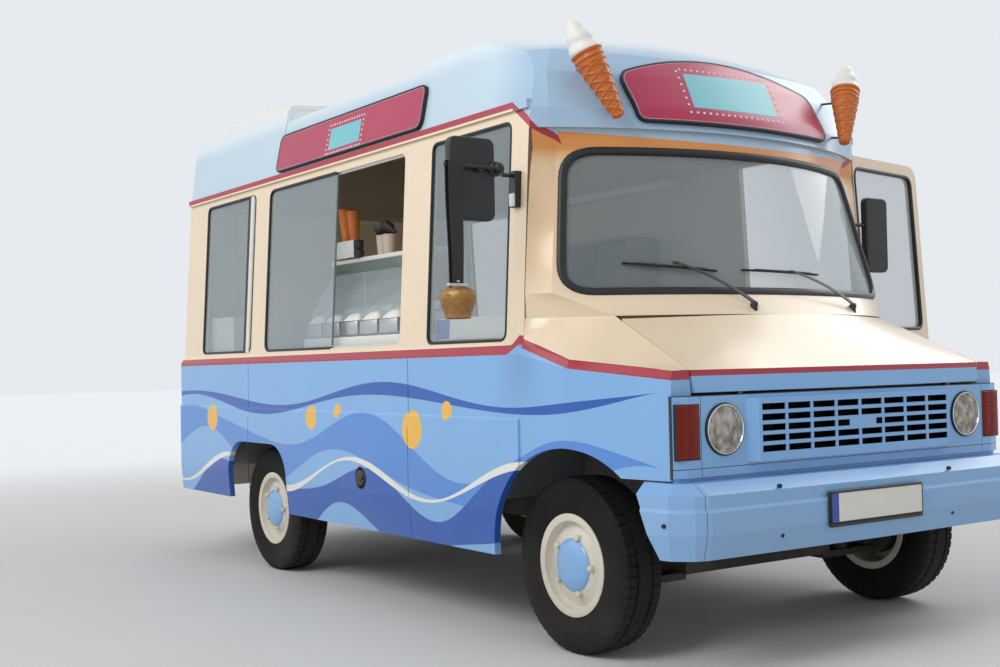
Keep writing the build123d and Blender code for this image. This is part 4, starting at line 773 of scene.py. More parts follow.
@dataclass(frozen=True)
class Livery(Finish):
    """Body paint: cream above a crimson line, light blue with ribbons and discs below.

    The line's height follows stations of x. Ribbons are bands about sine curves, and discs are circles.
    """

    line_x: tuple[float, ...] = (-3.815, -0.188)
    line_z: tuple[float, ...] = (1.154, 1.173)
    line_half: float = 0.019
    turned: float = 0.0
    ribbons: bool = True
    lined: bool = True
    gutter: bool = False

    def truck_axes(self, n: Nodes) -> tuple[Socket, ...]:
        """The point in the truck's own axes in metres, with the door turned back shut."""
        if not self.turned:
            return n.truck()
        angle = math.radians(self.turned)
        hinge = np.array([*DOOR_HINGE, 0.0]) / 1000
        moved = Matrix.Rotation(angle, 3, "Z") @ Vector(hinge + SHIFT / 1000)
        shift = tuple(float(h - m) for h, m in zip(hinge, moved))
        return n.axes(n.where(turned=(0.0, 0.0, angle), shift=shift))

    def colours(self, n: Nodes) -> Socket:
        """Cream, line, ground colour, ribbons and discs by place."""
        x, _, z = self.truck_axes(n)
        colour = self.artwork(n, x, z) if self.ribbons else LIGHT_BLUE
        above = n.math("SUBTRACT", self.line(n, x), z)
        colour = n.mix(n.inside(above), colour, CREAM)
        gap = n.math("SUBTRACT", n.math("ABSOLUTE", above), self.line_half)
        colour = n.mix(n.inside(gap), colour, CRIMSON)
        # Above the gutter line: the roof's front blue, with its painted shade.
        colour = with_gutter(n, x, z, SHADED_ROOF_FRONT, colour) if self.gutter else colour
        return n.mix(INNER.on(n)["Mask"], colour, INTERIOR) if self.lined else colour

    def artwork(self, n: Nodes, x: Socket, z: Socket) -> Socket:
        """Ribbons that swell and taper off ahead of the wheel, and discs over them, on the ground colour."""
        colour: object = LIGHT_BLUE
        for tint, base, rise, length, shift, slope, half in RIBBONS:
            centre = n.wave(x, base, rise, length, shift, slope)
            swell = n.wave(x, half, half * 0.45, length * 0.7, shift + 1.0)
            swell = n.math("MULTIPLY", swell, n.step(x, 0.58, -0.1))
            gap = n.math("ADD", n.math("SUBTRACT", n.off(z, centre), swell), 0.001)
            colour = n.mix(n.inside(gap), colour, tint)
        for at_x, at_z, radius in DISCS:
            far = n.reach(n.math("SUBTRACT", x, at_x), n.math("SUBTRACT", z, at_z))
            colour = n.mix(n.inside(n.math("SUBTRACT", far, radius)), colour, YELLOW)
        return colour

    def line(self, n: Nodes, x: Socket) -> Socket:
        """The crimson line's middle height, straight between its stations."""
        height: object = self.line_z[0]
        for x0, x1, z0, z1 in zip(self.line_x, self.line_x[1:], self.line_z, self.line_z[1:]):
            share = n.math("DIVIDE", n.math("SUBTRACT", x, x0), x1 - x0, clamp=True)
            height = n.math("MULTIPLY_ADD", share, z1 - z0, height)
        return height


@dataclass(frozen=True)
class RoofPaint(Finish):
    """Roof paint: pale blue, deepened by painted shade to the front and lightened by a painted highlight towards the
    crown, white on top, and the gutter line over cream.
    """

    def colours(self, n: Nodes) -> Socket:
        """Blue by place ahead, with painted shade to the front; painted highlight and white by height; the gutter line
        below; and the ceiling inside, darkened by painted shade.
        """
        x, _, z = n.truck()
        # The deeper blue ahead of x -0.55 is painted shade on the roof's front.
        colour = n.mix(n.step(x, -0.55, -0.22), PALE_BLUE, SHADED_ROOF_FRONT)
        # Lighter towards the top above z 2.39: a painted highlight from light above.
        colour = n.mix(n.step(z, 2.39, 2.5), colour, LIT_CROWN)
        colour = n.mix(n.step(z, 2.524, 2.534), colour, WHITE)
        # Inner faces get the ceiling colour, darkened as painted shade.
        return n.mix(INNER.on(n)["Mask"], with_gutter(n, x, z, colour, CREAM), SHADED_CEILING)


@dataclass(frozen=True)
class CabPaint(Finish):
    """The cab front's paint: cream that warms to orange over the windscreen, below a pale blue edge that is darker
    with painted shade.
    """

    def colours(self, n: Nodes) -> Socket:
        """Cream, brow and blue by height, with the blue's edge at 2.006 + 0.045 y^2; the blue carries painted shade.
        """
        x, y, z = n.truck()
        colour = n.mix(n.step(z, 1.32, 1.6), CREAM, CAB_CREAM)
        colour = n.mix(n.step(z, 1.9, 1.985), colour, BROW)
        edge = n.math("MULTIPLY_ADD", n.math("MULTIPLY", y, y), 0.045, 2.006)
        # Above the edge, and above the gutter line behind the post, the roof's front blue with its painted shade.
        colour = n.mix(n.inside(n.math("SUBTRACT", edge, z)), colour, SHADED_ROOF_FRONT)
        colour = n.mix(n.inside(n.math("ADD", x, 0.152)), colour, with_gutter(n, x, z, SHADED_ROOF_FRONT, colour))
        colour = n.mix(n.inside(n.math("ADD", x, 0.1845)), colour, POST_SEAM)
        return n.mix(INNER.on(n)["Mask"], colour, INTERIOR)


@dataclass(frozen=True)
class MarkedPaint(Finish):
    """Paint with dark joints, and painted shade inside openings, each a box of (both sides, lowest corner, highest
    corner) in metres.
    """

    marks: tuple = ()

    def colours(self, n: Nodes) -> Socket:
        """The colour, and dark inside each box: where the largest distance to its faces is below 0."""
        x, y, z = n.truck()
        aside = n.math("ABSOLUTE", y)
        colour: object = self.colour
        for both, low, high in self.marks:
            far: object = -1.0
            for value, a, b in zip((x, aside if both else y, z), low, high):
                far = n.math("MAXIMUM", far, n.math("SUBTRACT", n.off(value, (a + b) / 2), (b - a) / 2))
            colour = n.mix(n.inside(far, 0.0004), colour, JOINT_AND_SHADE)
        return colour


class Palette:
    """The truck's finishes."""

    side = Livery("Side paint", LIGHT_BLUE, 0.28, coat=0.2, dust=0.16, gutter=True,
                  line_x=(-3.815, -0.265, -0.215, -0.188), line_z=(1.154, 1.168, 1.206, 1.204))
    door = Livery("Door paint", LIGHT_BLUE, 0.28, coat=0.2, dust=0.16, turned=DOOR_OPEN, lined=False)
    wing = Livery("Wing paint", LIGHT_BLUE, 0.26, coat=0.3, dust=0.16, line_x=(-0.188, 0.092, 0.56),
                  line_z=(1.192, 1.108, 1.062), line_half=0.017)
    bonnet = Livery("Bonnet paint", CREAM, 0.24, coat=0.3, dust=0.05, ribbons=False, line_x=(0.5, 0.6),
                    line_z=(1.068, 1.068), line_half=0.011)
    blue = Finish("Light blue paint", LIGHT_BLUE, 0.3, coat=0.3, dust=0.16)
    # The first mark is painted shade on the grille's slot walls behind its face; the rest are dark joint lines.
    panel = MarkedPaint("Nose panel paint", LIGHT_BLUE, 0.3, coat=0.3, dust=0.16, marks=(
        (True, (0.55, -0.1, 0.7695), (0.618, 0.5385, 0.9565)), (True, (0.5, 0.805, 0.6), (0.7, 0.8078, 1.1)),
        (True, (0.5, 0.927, 0.6), (0.7, 0.95, 1.1)), (True, (0.5, -0.1, 0.7295), (0.7, 0.95, 0.7325)),
        (True, (0.5, -0.1, 0.985), (0.7, 0.95, 1.1))))
    bumper = MarkedPaint("Bumper paint", LIGHT_BLUE, 0.32, coat=0.3, mottle=0.14, patch=3.0, dust=0.3,
                         marks=((True, (0.4, 0.8882, 0.3), (0.8, 0.8902, 0.8)),))
    roof = RoofPaint("Roof paint", PALE_BLUE, 0.34, coat=0.2)
    cream = CabPaint("Cream paint", CREAM, 0.32, coat=0.25)
    chassis = Finish("Chassis black", srgb(24, 24, 26), 0.6, specular=0.3, relief=0.2, dust=0.25)
    iron = Finish("Cast iron", srgb(66, 66, 70), 0.65, 0.5, relief=0.4, grain=120.0, dust=0.35)
    browned = Finish("Browned steel", srgb(122, 104, 88), 0.5, 0.8, mottle=0.5, dust=0.5)
    floor = Finish("Floor sheet", srgb(130, 133, 136), 0.45, 0.3, relief=0.2, grain=90.0, dust=0.35)
    rubber = Finish("Tyre rubber", srgb(14, 14, 15), 0.75, specular=0.2, mottle=0.3, relief=0.25,
                    grain=400.0, dust=0.08, dust_top=0.7)
    seal = Finish("Black rubber", srgb(20, 21, 23), 0.42, mottle=0.15, relief=0.1, dust=0.1)
    plastic = Finish("Black plastic", srgb(26, 27, 29), 0.38, relief=0.3, grain=900.0, dust=0.1)
    rim = Finish("Wheel paint", srgb(228, 222, 206), 0.4, coat=0.2, mottle=0.15, dust=0.5, dust_top=0.7)
    white = Finish("White laminate", srgb(228, 228, 222), 0.35, mottle=0.04)
    steel = Finish("Brushed steel", srgb(188, 190, 192), 0.3, 1.0, relief=0.15, grain=300.0)
    chrome = Finish("Bright chrome", srgb(222, 224, 226), 0.08, 1.0, mottle=0.02, relief=0.01, dust=0.05)
    brass = Finish("Aged brass", srgb(160, 120, 72), 0.44, 0.7, mottle=0.9, patch=22.0, relief=0.5,
                   grain=70.0)
    leather = Finish("Black leather strap", srgb(28, 26, 27), 0.6, mottle=0.3, relief=0.5, grain=500.0)
    vinyl = Finish("Black vinyl", srgb(44, 44, 48), 0.5, mottle=0.15, relief=0.5, grain=420.0)
    dash = Finish("Dash plastic", srgb(48, 48, 51), 0.6, relief=0.5, grain=700.0)
    plate = Finish("Blank plate", srgb(232, 230, 222), 0.35, coat=0.2, mottle=0.05, dust=0.2)
    red = Finish("Sign red", srgb(180, 28, 78), 0.3, coat=0.2, mottle=0.25, patch=3.0)
    teal = Finish("Sign teal", srgb(118, 196, 206), 0.35, mottle=0.06)
    amber = Finish("Lamp orange red", srgb(124, 20, 4), 0.3, coat=0.05, specular=0.2, mottle=0.1, dust=0.1)
    tail = Finish("Tail lamp red", srgb(170, 20, 18), 0.2, coat=0.5, dust=0.15)
    # The pale colours of the screen and side glass are painted reflections, shown by the alpha on top of the real
    # gloss.
    glass = Glass("Screen glass", srgb(176, 190, 196), 0.03, mottle=0.0, relief=0.0, clear=0.8, sheen=0.4)
    pane = Glass("Side glass", srgb(180, 194, 200), 0.03, mottle=0.0, relief=0.0, clear=0.93, sheen=0.5)
    lamp = LampGlass("Lamp glass", srgb(188, 188, 182), 0.06, mottle=0.1, relief=0.0, clear=0.42)
    cone = Finish("Cone shell", srgb(200, 106, 34), 0.42, coat=0.1, mottle=0.35, patch=14.0)
    wafer = Finish("Wafer", srgb(206, 120, 54), 0.6, mottle=0.4, patch=30.0, relief=0.4, grain=160.0)
    ice = Finish("White ice", srgb(240, 238, 232), 0.42, mottle=0.04, relief=0.1, grain=40.0)
    cup = Finish("Paper cup", srgb(206, 188, 170), 0.6, mottle=0.1)
    chocolate = Finish("Dark wafer", srgb(44, 34, 34), 0.5, mottle=0.3, relief=0.3, grain=90.0)
    blind = Finish("Beige blind", srgb(236, 218, 190), 0.8, mottle=0.06, relief=0.3, grain=700.0)
    wood = Finish("Brown shelf", srgb(120, 92, 70), 0.5, mottle=0.4, patch=12.0, relief=0.2,
                  grain=60.0)
    display_band = Finish("Display band", srgb(96, 112, 104), 0.25, coat=0.3, mottle=0.1)
    door_card = Finish("Door card", srgb(120, 118, 116), 0.7, mottle=0.1, relief=0.5, grain=500.0)
    wiper = Finish("Wiper metal", srgb(66, 66, 70), 0.4, 0.6, mottle=0.1, relief=0.1)
    sign_line = Finish("Sign line", srgb(206, 150, 166), 0.35, mottle=0.1)
    rail = Finish("Window rail", srgb(214, 214, 210), 0.35, 0.6, relief=0.08)
    pane_edge = Finish("Pane edge", srgb(110, 128, 122), 0.2, coat=0.5, mottle=0.1)
    core = Finish("Cooling core", srgb(16, 17, 19), 0.6, 0.3, mottle=0.3, relief=0.3, grain=300.0)
    # Near black and dull, for sheets that stand for the shade inside openings.
    opening = Finish("Opening shade", srgb(6, 7, 9), 0.9, specular=0.05, mottle=0.1)
    gap = Finish("Dark joint", srgb(28, 34, 48), 0.7, mottle=0.1)
    plate_band = Finish("Plate blue", srgb(38, 72, 170), 0.35, coat=0.2, mottle=0.05, dust=0.1)
    mirror = Finish("Mirror silver", srgb(228, 230, 232), 0.03, 1.0, mottle=0.02, relief=0.0)
    lens = Glass("Clear lens", srgb(188, 188, 182), 0.05, mottle=0.02, relief=0.0, clear=0.8)
    # Metallic, with strong broad mottling in its colour that paints patchy reflections on top of its real gloss.
    bowl = Finish("Lamp bowl", srgb(170, 164, 152), 0.16, 1.0, mottle=1.3, patch=26.0, relief=0.8,
                  grain=70.0)
    bolt = Finish("Dark bolt", srgb(24, 32, 48), 0.5, mottle=0.1, relief=0.1)
    rod = Finish("Dark rod", srgb(70, 76, 84), 0.45, 0.6, mottle=0.2)


NODE_FINISHES: tuple[tuple[Finish, str], ...] = (
    (Palette.chassis, "chassis_frame driveline front_suspension rear_axle fuel_tank"),
    (Palette.iron, "engine_block knuckle_right knuckle_left"), (Palette.browned, "exhaust"),
    (Palette.floor, "floor wheel_boxes engine_cover"), (Palette.side, "side_wall_right side_wall_left rear_wall"),
    (Palette.roof, "roof"), (Palette.cream, "cab_front"), (Palette.wing, "wings"), (Palette.bonnet, "bonnet"),
    (Palette.panel, "front_panel"), (Palette.bumper, "front_bumper rear_bumper"), (Palette.door, "driver_door"),
    (Palette.glass, "headlamps windscreen"), (Palette.pane, "body_glass door_glass"),
    (Palette.amber, "indicators"), (Palette.tail, "tail_lamps"), (Palette.plate, "number_plates"),
    (Palette.white, "counter_units"), (Palette.vinyl, "seats"), (Palette.dash, "dashboard"),
    (Palette.plastic, "steering_wheel mirrors wipers"), (Palette.cone, "roof_cones"), (Palette.red, "sign_panels"),
    (Palette.brass, "bell"), (Palette.rubber, " ".join(f"tyre_{name}" for name, _, _ in WHEELS)),
    (Palette.rim, " ".join(f"rim_{name}" for name, _, _ in WHEELS)),
)


@dataclass
class Wheels:
    """Tyres with tread and pressed wheels with a blue domed cap."""

    half: float = 97.5
    blocks: int = 54
    cap_r: float = 100.0
    rim_half: float = 78.0
    nut_r: float = 112.0

    def tyre(self, x: float, side: Side, name: str) -> None:
        """Builds one tyre.

        The radius follows the section from bead to bead. On the tread it is cut by four ring grooves, and by
        cross cuts whose angle leans with the distance from the middle.
        """
        share = np.array([0.80, 0.83, 0.95, 1.0, 0.985, 0.93, 0.86])
        radius = np.array([178.0, 200.0, 232.0, 262.0, 292.0, 316.0, 328.0])
        across = np.array([-0.80, -0.72, -0.70, -0.60, -0.42, -0.40, -0.33, -0.31, -0.06, -0.04])
        across = np.concatenate([across, -across[::-1]])
        y = (np.concatenate([-share, across, share[::-1]]) * self.half)[:, None]
        crown = TYRE_R - 7.0 * np.abs(across) ** 2.6
        depth = np.where(np.isin(np.round(np.abs(across), 2), (0.40, 0.33)), 9.0, 0.0)
        r = np.concatenate([radius, crown - depth, radius[::-1]])[:, None]
        angle = full_turn(self.blocks * 6)
        out = np.abs(y)
        phase = (angle * self.blocks / (2 * np.pi) + 0.45 * out / self.half) % 1.0
        tread = (out < 0.83 * self.half) & (out > 0.08 * self.half)
        shoulder = np.abs(out - 0.86 * self.half) < 1.5
        cut = np.where(tread & (phase < 0.17), 6.0, 0.0)
        r = r - np.where(shoulder & (phase < 0.33), 4.0, cut)
        points = points_of(x + r * np.cos(angle), y + side.value * WHEEL_Y, TYRE_R + r * np.sin(angle))
        piece = Piece(f"tyre_tread_{name}", Palette.rubber, f"wheel_{name}", crease=30.0)
        piece.add(grid(points, wrap_u=True)).done(replaces=(f"tyre_{name}",))

    def disc(self, x: float, side: Side, name: str) -> None:
        """Builds one wheel: rim and dished disc as one turned ring, the nuts and the cap."""
        h, r = self.rim_half, self.cap_r
        ring = [(166, -h), (196, -h - 3), (197, -h - 9), (190, -h - 11), (168, -h - 7), (163, h - 44), (150, h - 36),
                (132, h - 30), (116, h - 17), (100, h - 12), (40, h - 12), (0, h - 12), (0, h - 4), (60, h - 4),
                (104, h - 5), (122, h - 11), (138, h - 22), (160, h - 28), (168, h - 14), (169, h + 5), (190, h + 9),
                (197, h + 7), (197, h + 2), (180, h - 2), (178, -h + 4)]
        centre = np.array([x, side.value * WHEEL_Y, TYRE_R])
        axis = np.array([0.0, side.value, 0.0])
        piece = Piece(f"wheel_{name}", Palette.rim, f"wheel_{name}")
        piece.add(spin(ring, centre, axis, 96, ring=True))
        for angle in 2 * np.pi * np.arange(5) / 5:
            nut = centre + axis * (h - 5) + np.array([math.cos(angle), 0, math.sin(angle)]) * self.nut_r
            piece.add(spin([(0, 0), (13, 0), (13, 12), (10, 15), (0, 15)], nut, axis, 6))
        piece.done(replaces=(f"rim_{name}",))
        cap = [(0, h - 6), (r, h - 6), (r + 2, h - 3), (r - 1, h + 1), (0.92 * r, h + 6), (0.8 * r, h + 12),
               (0.55 * r, h + 17), (0.3 * r, h + 19), (0, h + 20)]
        Piece(f"hub_cap_{name}", Palette.blue, f"wheel_{name}").add(spin(cap, centre, axis, 72)).done()

    def build(self) -> None:
        """Builds all four wheels."""
        for name, x, side in WHEELS:
            self.tyre(x, side, name)
            self.disc(x, side, name)


@dataclass
class Windscreen:
    """Thick rubber seal round the windscreen, and the two wipers lying on its glass."""

    half: Span = (932.0, 822.0)
    height: Span = (1384.0, 1964.0)
    corner: float = 120.0
    blades: tuple = (((-696.0, 1499.0), (-317.0, 1467.0), (-494.0, 1495.0), (290.0, -215.0, 1336.0)),
                     ((-190.0, 1473.0), (263.0, 1463.0), (69.0, 1466.0), (242.0, 430.0, 1336.0)))

    def outline(self) -> Array:
        """The pane's outline: a trapezium with rounded corners."""
        low, high = self.height
        corners = [(-self.half[0], low), (self.half[0], low), (self.half[1], high), (-self.half[1], high)]
        return refine(rounded(corners, self.corner, 9), 30.0)

    def seal(self) -> None:
        """Builds the rubber: a fat outer lip and a thinner filler lip against the glass."""
        section = [(-12, -6), (-12, 3), (-8, 8), (-2, 10), (7, 10), (13, 7), (17, 2), (19, -5), (19, -9), (4, -12)]
        Piece("windscreen_seal", Palette.seal).add(bead(self.outline(), CAB_FACE, section)).done()

    def wipers(self) -> None:
        """Builds both wipers: blade rubber, bridge, arm and nut.

        A blade's row holds its first end, last end and joint as (y, z) on the glass, and its nut's place.
        """
        rubber = Piece("wiper_rubbers", Palette.seal)
        metal = Piece("wiper_arms", Palette.wiper)
        share = np.linspace(0, 1, 24)[:, None]
        bar = [(-6, -2), (6, -2), (6, 2), (-6, 2)]
        for first, last, joint, nut in self.blades:
            line = np.array(first) + share * (np.array(last) - np.array(first))
            rubber.add(strip(line, CAB_FACE, [(-2, -7), (2, -7), (4, 4), (1, 9), (-1, 9), (-4, 4)]))
            bridge = [(-4.5, 8), (4.5, 8), (4.5, 11), (1.5, 15), (-1.5, 15), (-4.5, 11)]
            metal.add(strip(line[3:-3], CAB_FACE, bridge))
            tip = CAB_FACE(np.array([joint], float), 20.0)[0]
            foot = np.array(nut, float)
            arm = curve(foot, (tip + foot) / 2 + (26.0, 0.0, 22.0), tip, np.linspace(0, 1, 14)[:, None])
            metal.add(sweep(arm, bar, (1.0, 0, 0.6), scale=np.linspace(1.5, 0.75, 14)))
            metal.add(spin([(0, -30), (14, -30), (15, -4), (12, 4), (7, 6), (0, 7)], foot, (0.45, 0, 1), 20))
            metal.add(soft_box(tip - (5, 16, 8), tip + (5, 16, 5), 4))
        rubber.done()
        metal.done()

    def build(self) -> None:
        """Builds the seal and the wipers."""
        self.seal()
        self.wipers()


@dataclass
class Glazing:
    """Seals, trims and rails of the side, back and door windows."""

    height: Span = (1208.0, 2090.0)
    cab: Span = (-915.0, -310.0)
    hatch: Span = (-2625.0, -1155.0)
    rear: Span = (-3520.0, -2900.0)
    sliding_edge: float = -1840.0
    corner: float = 38.0
    back_half: float = 620.0
    door: tuple[float, float, float, float] = (-843.0, -258.0, 1250.0, 2045.0)
    section: tuple = ((-6, -4), (-6, 1), (-3, 3), (1, 4), (5, 2), (7, -2), (8, -9), (3, -11), (0, -7))

    def opening(self, x: Span) -> Array:
        """A side window's outline."""
        return panel(x, self.height, self.corner)

    def seals(self) -> None:
        """Builds the rubbers of the fixed panes, and of the door's pane in its open place."""
        piece = Piece("window_seals", Palette.seal)
        piece.add(bead(self.opening(self.cab), RIGHT_FACE, self.section))
        piece.add(bead(self.opening(self.rear), LEFT_FACE, self.section))
        piece.add(bead(self.opening((self.rear[0], self.rear[1] + 82)), RIGHT_FACE, self.section))
        back = panel((-self.back_half, self.back_half), self.height, 60.0)
        piece.add(bead(back, REAR_FACE, self.section))
        left, (low, high), r, edge = self.hatch[0], self.height, 50.0, self.sliding_edge
        path = np.vstack([[(edge, high)], bend((left + r, high), (left, high), (left, high - r)),
                          bend((left, low + r), (left, low), (left + r, low)), [(edge, low)]])
        piece.add(strip(refine(path, 50.0, closed=False), RIGHT_FACE, self.section)).done()
        lip = [(-9, -4), (-9, 2), (-5, 4), (2, 4), (7, 0), (9, -8), (8, -14), (0, -16)]
        door = Piece("door_window_seal", Palette.seal, "door_body")
        door.add(bead(panel(self.door[:2], self.door[2:], 55.0), LEFT_FACE, lip)).swing().done()

    def trims(self) -> None:
        """Builds the rear window's black channel and white bar, the pane's polished edge and the rails."""
        low, high = self.height
        rear, edge = self.rear[1], self.sliding_edge - 2
        for name, finish, x, z, plate in (
            ("rear_window_channel", Palette.seal, (rear - 14, rear + 34), (low + 4, high - 4), (3.0,)),
            ("rear_window_bar", Palette.white, (rear + 30, rear + 68), (low - 6, high - 2), (8.0, 2.0)),
        ):
            Piece(name, finish).add(sheet_on(panel(x, z, 5.0, 3, 80.0), RIGHT_FACE, *plate)).done()
        path = refine([(edge, low + 12), (edge, high - 12)], 60.0, closed=False)
        bar = [(-4, -16), (4, -16), (4, -7), (-4, -7)]
        Piece("sliding_pane_edge", Palette.pane_edge).add(strip(path, RIGHT_FACE, bar)).done()
        rails = Piece("window_rails", Palette.rail)
        channel = [(-6, -24), (6, -24), (6, -21), (-3, -21), (-3, -17), (6, -17), (6, -14), (-6, -14)]
        for z in (low + 4, high - 4):
            path = refine([(self.hatch[0] + 45, z), (self.hatch[1] - 12, z)], 60.0, closed=False)
            rails.add(strip(path, RIGHT_FACE, channel))
        rails.done()

    def build(self) -> None:
        """Builds all of the glazing's trim."""
        self.seals()
        self.trims()


@dataclass
class Nose:
    """Lamps, radiator, seams, bolts and plates of the front."""

    lamp_y: float = 693.0
    lamp_z: float = 865.0
    lamp_r: float = 95.0
    panel_x: float = 590.0
    indicator_y: Span = (812.0, 922.0)
    indicator_z: Span = (762.0, 959.0)

    def lamps(self) -> None:
        """Builds the headlamps: rubber ring, bowl and a lens whose face is a shallow dome with upright ribs.

        The lens's face is 12 (1 - (r / R)^2) + 0.7 sin(2 pi y / 9) in front of its rim, times a fade at the rim.
        """
        r, ahead = self.lamp_r, (1, 0, 0)
        ring = [(r - 4, -14), (r - 1, -14), (r, 2), (r - 1, 7), (r - 4, 9), (r - 7, 7)]
        rim = [(r - 12, -2), (r - 5, -2), (r - 4, 5), (r - 6, 9), (r - 9, 9.5), (r - 12, 5)]
        bowl = [(r - 9, 2), (78, -7), (66, -12), (52, -16), (36, -18.5), (15, -20), (0, -20), (0, -21.5), (36, -21),
                (60, -18), (80, -10), (r - 6, -2)]
        bulb = [(0, -20), (19, -20), (19, -12), (16, -5), (10, -1), (0, 0)]
        bowls = Piece("headlamp_bowls", Palette.bowl)
        pieces = [Piece("headlamp_rings", Palette.seal), Piece("headlamp_rims", Palette.chrome), bowls,
                  Piece("headlamp_bulbs", Palette.chrome), Piece("headlamp_lenses", Palette.lamp, crease=60)]
        radius = np.linspace(0.02, 1.0, 40)[:, None] * (r - 8)
        angle = full_turn(120)[None, :]
        y, z = radius * np.cos(angle), radius * np.sin(angle)
        share = radius / (r - 8)
        bulge = 12 * (1 - share**2)
        ribs = 0.7 * np.sin(2 * np.pi * y / 9.0) * (1 - share**6) * np.where(np.abs(z) < 55, 1.0, 0.35)
        lens = np.concatenate([points_of(bulge * 0.8 - 3.0, y, z), points_of(bulge + ribs, y, z)[::-1]])
        for side in Side:
            centre = np.array([self.panel_x, side.value * self.lamp_y, self.lamp_z])
            shapes = [spin(section, centre, ahead, 72, ring=True) for section in (ring, rim, bowl)]
            shapes += [spin(bulb, centre, ahead, 32), grid(lens + centre + (3.0, 0, 0))]
            for piece, shape in zip(pieces, shapes):
                piece.add(shape)
        for piece in pieces:
            piece.done(replaces=("headlamps",) if piece is bowls else ())

    def indicators(self) -> None:
        """Builds the corner lamps: ribbed lenses in a dark surround.

        A lens's x is 593.5 + 1.6 |sin(pi h / 8)|, with h the height in it, less a drop at its edges and ends.
        """
        (y0, y1), (z0, z1) = self.indicator_y, self.indicator_z
        middle = (y0 + y1) / 2
        z = np.linspace(z0 + 3, z1 - 3, 121)[:, None]
        y = np.array([y0 + 2, y0 + 3.5, y0 + 6, middle - 0.6, middle, middle + 0.6, y1 - 6, y1 - 3.5, y1 - 2])
        drop = np.array([9.0, 2.0, 0.0, 0.0, 0.8, 0.0, 0.0, 2.0, 9.0])
        ends = np.minimum(np.minimum(z - z[0], z[-1] - z) / 4.0, 1.0)
        x = 593.5 + 1.6 * np.abs(np.sin(np.pi * (z - z0) / 8.0)) - drop - 8 * (1 - ends) ** 2
        lens = Piece("indicator_lenses", Palette.amber, crease=50)
        lens.both(slab(points_of(x, y, z), points_of(572.0, y, z))).done(replaces=("indicators",))
        loop = panel((y0 + 0.5, y1 - 0.5), (z0 + 0.5, z1 - 0.5), 4.0, 4, 40.0)
        gasket = [(0, -18), (0, 0.5), (1, 1.5), (3, 1.5), (4, 0), (4, -18)]
        Piece("indicator_gaskets", Palette.seal).both(bead(loop, FlatFace(589.0), gasket)).done()

    def radiator(self) -> None:
        """Builds a dark cooling core behind the grille: a wall whose depth is a fine wave across and up."""
        y = np.linspace(-640, 640, 641)
        z = np.linspace(764, 962, 34)[:, None]
        x = 547 + 2.5 * np.sin(2 * np.pi * y / 8.0) + 1.5 * np.sin(2 * np.pi * z / 12.0)
        Piece("radiator_core", Palette.core).add(slab(points_of(x, y, z), points_of(520.0, y, z))).done()

    def seams(self) -> None:
        """Builds the backing under the bonnet's lip, the skirt behind the bumper, dark sheets that paint the shade in
        two half slots, and the bolts.
        """
        Piece("lip_backing", Palette.core).boxes(((538, -800, 955), (556, 800, 993), 3)).done()
        Piece("nose_skirt", Palette.blue).boxes(((552, -915, 590), (570, 915, 702), 6)).done()
        # Dark sheets on the panel's face: painted shade where the half slots open.
        slot_shades = Piece("grille_half_slot_shades", Palette.opening)
        for y in ((-128, -62), (92, 128)):
            slot_shades.add(sheet_on(panel(y, (851, 875), 3.0, 3, 20.0), FlatFace(621.5), 0.9, 0.3))
        slot_shades.done()
        bolts = Piece("bumper_bolts", Palette.bolt)
        head = [(0, -10), (8, -10), (8, 0), (7, 2.5), (4.5, 3), (4, 1), (0, 1)]
        for at in ((702, -529, 482), (703, -535, 659), (702, 440, 483), (703, 429, 661)):
            bolts.add(spin(head, at, (1, 0, 0), 16))
        bolts.both(spin(head, (600, -1003, 547), (0, -1, 0), 16)).done()

    def plates(self) -> None:
        """Builds the blank plates: a black holder with a lip below, a white field, a blue band and a thin rim."""
        holders = Piece("plate_holders", Palette.plastic)
        faces, bands = Piece("plate_faces", Palette.plate), Piece("plate_bands", Palette.plate_band)
        rims = Piece("plate_rims", Palette.seal)
        rim = [(-2, 7), (-2, 11.5), (-1, 12.2), (1.5, 12.2), (2.5, 11), (2.5, 7)]
        for face, (y0, y1), (z0, z1), start in ((FlatFace(715.0), (-301.0, 231.0), (490.0, 622.0), -295.0),
                                                (REAR_FACE, (-266.0, 266.0), (688.0, 816.0), 220.0)):
            holders.add(sheet_on(panel((y0, y1), (z0, z1), 9.0, 5, 40.0), face, 8.5, 1.5))
            holders.add(sheet_on(panel((y0 + 4, y1 - 4), (z0 + 2, z0 + 15), 5.0, 4, 40.0), face, 11.5, 3.0))
            inner = panel((y0 + 6, y1 - 6), (z0 + 17, z1 - 6), 8.0, 5, 40.0)
            faces.add(sheet_on(inner, face, 10.5, 0.4))
            bands.add(sheet_on(panel((start, start + 40), (z0 + 17, z1 - 6), 6.0, 4, 40.0), face, 11.0, 0.4))
            rims.add(bead(inner, face, rim))
        holders.done(replaces=("number_plates",))
        for piece in (faces, bands, rims):
            piece.done()

    def build(self) -> None:
        """Builds the nose's details."""
        self.lamps()
        self.indicators()
        self.radiator()
        self.seams()
        self.plates()


